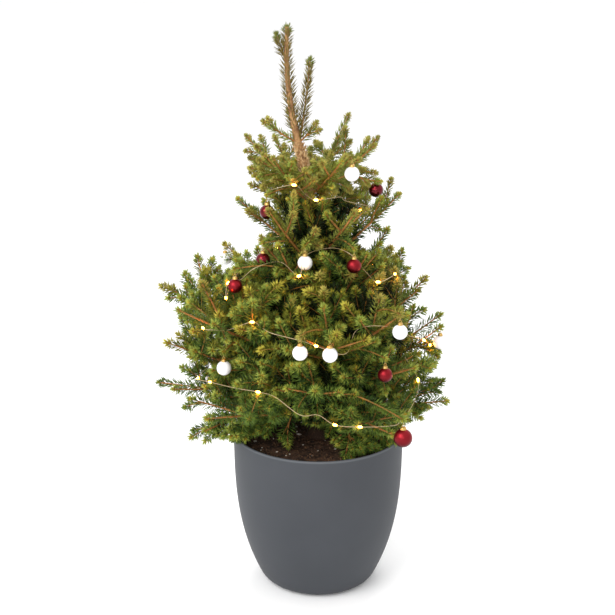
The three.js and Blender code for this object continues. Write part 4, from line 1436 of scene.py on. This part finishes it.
# Baubles: glass balls with a brass cap, a loop and a thread
glass = {
    "sides": 32, "rings": 22, "capSides": 24, "flutes": 12, "fluteDepth": 0.04,
    "loopMarks": 16, "loopWire": 0.35, "loopSides": 6, "threadMarks": 7, "threadWire": 0.22, "threadSides": 5,
    "threadApart": 0.7, "threadOver": 0.9, "plug": (0.9, 0.6), "eyeDrop": 0.5, "loopSeat": 0.6,
    "capWall": 0.9, "capDrop": 0.07, "capShare": 0.62, "hemRise": 0.4, "hemInner": 0.8,
    "hem": ((0.25, 0), (0.35, 0.5), (0, 1.1)),  # out from the cap's wall, up from its lower edge
    "capTop": ((0, -0.9), (-0.35, -0.2), (-1.0, 0)),  # out from the wall, up from its upper edge
    "white": {
        "fixed": {"Coat Roughness": 0.2, "Coat Weight": 0.15}, "grain": (500, 3), "relief": (0.05, 0.0001),
        "tints": (tint(252, 252, 252), tint(244, 244, 246)), "rough": (0.32, 0.12),
    },
    # red tints: painted shade at the foot, the body's red, and a darker cloud
    "satin": {
        "fixed": {"Metallic": 0.9, "Coat Weight": 0.1, "Coat Roughness": 0.3}, "grain": (700, 3),
        "tints": (tint(70, 7, 14), tint(150, 26, 36), tint(96, 12, 20)), "cloud": 0.35, "rough": (0.32, 0.1),
        "relief": (0.08, 0.0001),
    },
    "gloss": {
        "fixed": {"Metallic": 0.9, "Coat Weight": 0.3, "Coat Roughness": 0.04}, "grain": (40, 2),
        "tints": (tint(56, 2, 10), tint(122, 8, 24), tint(76, 4, 14)), "cloud": 0.4, "rough": (0.1, 0.06),
    },
    "paintedShadeRise": (-0.9, 0.7),  # rise, in radii, over which the painted shade at each ball's foot fades
    "brass": {
        "fixed": {"Metallic": 1.0}, "grain": (800, 3), "relief": (0.1, 0.0001),
        "tints": (tint(222, 188, 116), tint(196, 156, 84)), "rough": (0.24, 0.16),
    },
    "cotton": {
        "fixed": {"Metallic": 0.3}, "grain": (1500, 2),
        "tints": (tint(214, 190, 130), tint(180, 150, 92)), "rough": (0.45, 0.2),
    },
}


def paintedShadeRed(name, fixed, grain, tints, cloud, rough, relief=None):  # red with painted shade towards each ball's foot
    finish = Finish(name, fixed)
    bloom = finish.grain(*grain)
    # the foot tint is painted shade, laid on by each point's height on its ball
    foot, body, dark = tints
    rise = finish.node("ShaderNodeAttribute", {"attribute_name": "rise"}, {}, "Fac")
    red = finish.blend(finish.between(rise, *glass["paintedShadeRise"]), foot, body)
    colour = finish.blend(cloud * bloom, red, dark)
    finish.show({"Base Color": colour, "Roughness": rough[0] + rough[1] * bloom})
    if relief:
        finish.show({"Normal": finish.relief(bloom, *relief)})
    return finish


def ballProfile(size):
    turns = np.linspace(0, math.pi - baubles["neck"], glass["rings"])
    profile = [(0, -size)] + [(size * math.sin(turn), -size * math.cos(turn)) for turn in turns[1:]]
    inset, rise = glass["plug"]
    return profile + [(size * math.sin(baubles["neck"]) * inset, size + rise), (0, size + rise)]


def capProfile(size):  # crimped cup over the neck
    wide = size * math.sin(baubles["neck"]) + glass["capWall"]
    low, high = size * math.cos(baubles["neck"] + glass["capDrop"]), size + baubles["cap"] * glass["capShare"]
    inside = low + glass["hemRise"]
    hem = [(wide + out, low + up) for out, up in glass["hem"]]
    top = [(wide + out, high + up) for out, up in glass["capTop"]]
    return [(0, inside), (wide * glass["hemInner"], inside)] + hem + top + [(0, high)]


def loopPoints(middle, radius):
    turn = np.linspace(0, 2 * math.pi, glass["loopMarks"])
    return middle + np.stack([radius * np.sin(turn), np.zeros(len(turn)), -radius * np.cos(turn)], -1)


def wireTube(points, radius, sides):
    return tube(points, np.full(len(points), radius), sides)


def buildBaubles():
    looks = {"white": "baubles_white", "satin": "baubles_red_satin", "gloss": "baubles_red_gloss"}
    balls = {look: Joined() for look in looks}
    paintedShadeHeights = {look: [] for look in looks}
    caps, threads = Joined(), Joined()
    loop = baubles["loop"] / 2
    for place, size, kind, _ in hung:
        points, faces = spun(ballProfile(size), glass["sides"])
        look = "satin" if kind == "large" else kind
        balls[look].add(points + place, faces)
        paintedShadeHeights[look].append(points[:, 2] / size)
        points, faces = spun(capProfile(size), glass["capSides"])
        turn = np.arctan2(points[:, 1], points[:, 0])
        points[:, :2] *= (1 + glass["fluteDepth"] * np.cos(turn * glass["flutes"]))[:, None]
        caps.add(points + place, faces)
        top = place + np.array([0, 0, size + baubles["cap"] * glass["loopSeat"] + loop])
        caps.add(*wireTube(loopPoints(top, loop), glass["loopWire"], glass["loopSides"]))
        eye, hook = top + np.array([0, 0, loop - glass["eyeDrop"]]), hookOver(place, size)
        for aside in (-glass["threadApart"], glass["threadApart"]):  # thread doubled over its shoot
            over = hook + np.array([aside, 0, glass["threadOver"]])
            bend = np.array([eye, eye * 0.5 + hook * 0.5 + np.array([aside, 0, 0]), over])
            strand = pointAt(bend, np.linspace(0, 1, glass["threadMarks"]))
            threads.add(*wireTube(strand, glass["threadWire"], glass["threadSides"]))
    finishes = {
        "white": grained("whiteGlass", **glass["white"]), "satin": paintedShadeRed("redSatin", **glass["satin"]),
        "gloss": paintedShadeRed("redGlass", **glass["gloss"]),
    }
    for look, name in looks.items():
        piece = balls[look].make(name, finishes[look])
        # each point's height on its ball, which places the painted shade
        data = piece.data.attributes.new("rise", "FLOAT", "POINT").data
        data.foreach_set("value", np.concatenate(paintedShadeHeights[look]).astype(np.float32))
        settle(piece, "bauble_white" if look == "white" else "bauble_red")
    settle(caps.make("bauble_caps", grained("brassCap", **glass["brass"])), "bauble_cap")
    settle(threads.make("bauble_threads", grained("goldThread", **glass["cotton"])), "bauble_cap")


buildBaubles()
print("baubles: balls, caps and threads")

# Lights: small warm lamps on a thin wire that winds round the crown
lights = {
    "wire": 0.00034, "wireSides": 6, "lamp": (1.6, 2.9), "lampSides": 10, "lampRings": 7, "lampRound": 0.8,
    "look": 8, "lift": 7.0, "belt": 0.95, "slack": 20.0, "lampSlack": 40.0, "tuck": 13.0,
    "arcStep": 14, "arcLeast": 6, "spread": 18, "among": 88, "calm": 3, "hidden": (28, 152),
    "silver": {
        "fixed": {"Metallic": 0.45}, "grain": (600, 2), "tints": (tint(234, 212, 172), tint(202, 170, 124)),
        "rough": (0.3, 0.2),
    },
    "glass": tint(255, 236, 190), "glows": (tint(255, 158, 46), tint(255, 148, 38)), "glow": 64.0,
    "passes": (  # each turn as the photo shows it: 1 is a lamp, 0 wire in front, -1 wire behind the needles
        ((270, 190, -1), (294, 185, 1), (305, 194, -1), (316, 200, 1), (340, 197, -1)),
        ((226, 298, 1), (228, 283, 1), (240, 280, 0), (255, 268, 0), (280, 262, -1), (299, 276, 1),
         (305, 256, 0), (330, 248, 0), (350, 254, 0), (366, 272, -1), (378, 282, 1), (395, 274, 1)),
        ((203, 328, 1), (215, 330, -1), (228, 330, -1), (252, 322, 1), (262, 328, -1), (271, 333, 0),
         (290, 338, 0), (305, 342, -1), (316, 346, 1), (345, 354, 0), (355, 332, 0), (370, 326, 0),
         (395, 328, 0), (410, 336, -1), (424, 340, 1), (430, 345, 1)),
        ((198, 378, 1), (210, 382, 1), (235, 388, -1), (258, 392, 1), (275, 397, 0), (300, 415, 0),
         (318, 415, 0), (335, 425, 1), (360, 427, 1), (390, 426, 0), (400, 422, 0), (414, 402, -1),
         (418, 380, 1), (405, 357, -1)),
    ),
}


def passPlaces(cloud, line):  # on the growth there, but never far off the crown's round
    places = []
    for column, row, lit in line:
        belt = crownFront(column, row, tree.reach, lights["belt"])
        nearest, furthest = belt - lights["lampSlack" if lit > 0 else "slack"], belt + lights["slack"]
        depth = min(furthest, max(nearest, frontOf(cloud, column, row, lights["look"]) - lights["lift"]))
        places.append(fromPhoto(column, row, depth + (lights["tuck"] if lit < 0 else 0)))
    return places


def backArc(cloud, start, stop):  # turns and places from one pass round the back to the next
    middle = trunkAt((start[2] + stop[2]) / 2)
    first, last = (math.degrees(math.atan2(end[1], end[0] - middle[0])) for end in (start, stop))
    last += 360 if last < first else 0
    steps = max(lights["arcLeast"], int((last - first) / lights["arcStep"]))
    shares = np.arange(1, steps) / steps
    turns, heights = lerp(first, last, shares), lerp(start[2], stop[2], shares)
    reaches = [math.hypot(start[0] - middle[0], start[1])]
    for turn, height in zip(turns, heights):
        reaches.append(outermost(cloud, turn, height, lights["spread"], lights["among"])[0])
    reaches.append(math.hypot(stop[0] - middle[0], stop[1]))
    for _ in range(lights["calm"]):
        reaches[1:-1] = np.convolve(reaches, (0.25, 0.5, 0.25), "valid")
    places = []
    for turn, height, reach in zip(turns, heights, reaches[1:-1]):
        place = trunkAt(height)
        place[:2] += reach * np.array([math.cos(math.radians(turn)), math.sin(math.radians(turn))])
        places.append(place)
    return turns, places


def lightRoute():
    cloud = tree.cloud()
    passes = [passPlaces(cloud, line) for line in lights["passes"]]
    lampPlaces = [place for places, line in zip(passes, lights["passes"])
                  for place, (_, _, lit) in zip(places, line) if lit > 0]
    route = passes[0]
    left, right = lights["hidden"]
    for following in passes[1:]:
        turns, places = backArc(cloud, route[-1], following[0])
        lampPlaces += [place for turn, place in list(zip(turns, places))[1::2] if left < turn < right]
        route = route + places + following
    return np.array(route), np.array(lampPlaces)


def smoothLine(points, step=3.0):  # a curve through the points
    padded = np.vstack([2 * points[0] - points[1], points, 2 * points[-1] - points[-2]])
    out = []
    for n in range(1, len(padded) - 2):
        a, b, c, d = padded[n - 1:n + 3]
        count = max(2, int(np.linalg.norm(c - b) / step))
        for share in np.linspace(0, 1, count, endpoint=False):
            out.append(0.5 * (2 * b + (c - a) * share + (2 * a - 5 * b + 4 * c - d) * share ** 2
                              + (3 * b - a - 3 * c + d) * share ** 3))
    return np.array(out + [padded[-2]])


def wireRule():
    rule = Rule("thinWire", {"Radius": "Float", "Sides": "Int"})
    line = rule.node("GeometryNodeMeshToCurve", {}, {"Mesh": rule.take("Geometry")})
    sockets = {"Resolution": rule.take("Sides"), "Radius": rule.take("Radius")}
    ring = rule.node("GeometryNodeCurvePrimitiveCircle", {}, sockets)
    sockets = {"Curve": line, "Profile Curve": ring, "Fill Caps": True}
    rule.close(rule.node("GeometryNodeCurveToMesh", {}, sockets))
    return rule


def lampShape():
    width, half = lights["lamp"]
    turns = np.linspace(0, math.pi, lights["lampRings"] + 2)[1:-1]
    sides = [(width * math.sin(turn) ** lights["lampRound"], -half * math.cos(turn)) for turn in turns]
    return spun([(0, -half)] + sides + [(0, half)], lights["lampSides"])


def buildLights():
    route, lampPlaces = lightRoute()
    line = smoothLine(route)
    mesh = bpy.data.meshes.new("lightLine")
    mesh.from_pydata((line * mm).tolist(), [(n, n + 1) for n in range(len(line) - 1)], [])
    values = {"Radius": lights["wire"], "Sides": lights["wireSides"]}
    silver = grained("silverWire", **lights["silver"])
    settle(wireRule().make("light_wire", mesh, values, silver), "lamp_wire")
    beads = Joined()
    points, faces = lampShape()
    for place in lampPlaces:
        near = np.linalg.norm(line - place, axis=1).argmin()
        along = unit(line[min(near + 1, len(line) - 1)] - line[max(near - 1, 0)])
        across = sideways(along[None])[0]
        turned = points[:, :1] * across + points[:, 1:2] * np.cross(along, across) + points[:, 2:] * along
        beads.add(turned + place, faces)
    glow = Finish("warmLamp", {"Emission Strength": lights["glow"], "Roughness": 0.2})
    colour = glow.blend(glow.grain(400, 1), *lights["glows"])
    glow.show({"Base Color": lights["glass"], "Emission Color": colour})
    settle(beads.make("light_lamps", glow), "lamp")
    length = np.linalg.norm(np.diff(line, axis=0), axis=1).sum() * mm
    print("lights:", len(lampPlaces), "lamps on", round(length, 2), "m")


buildLights()
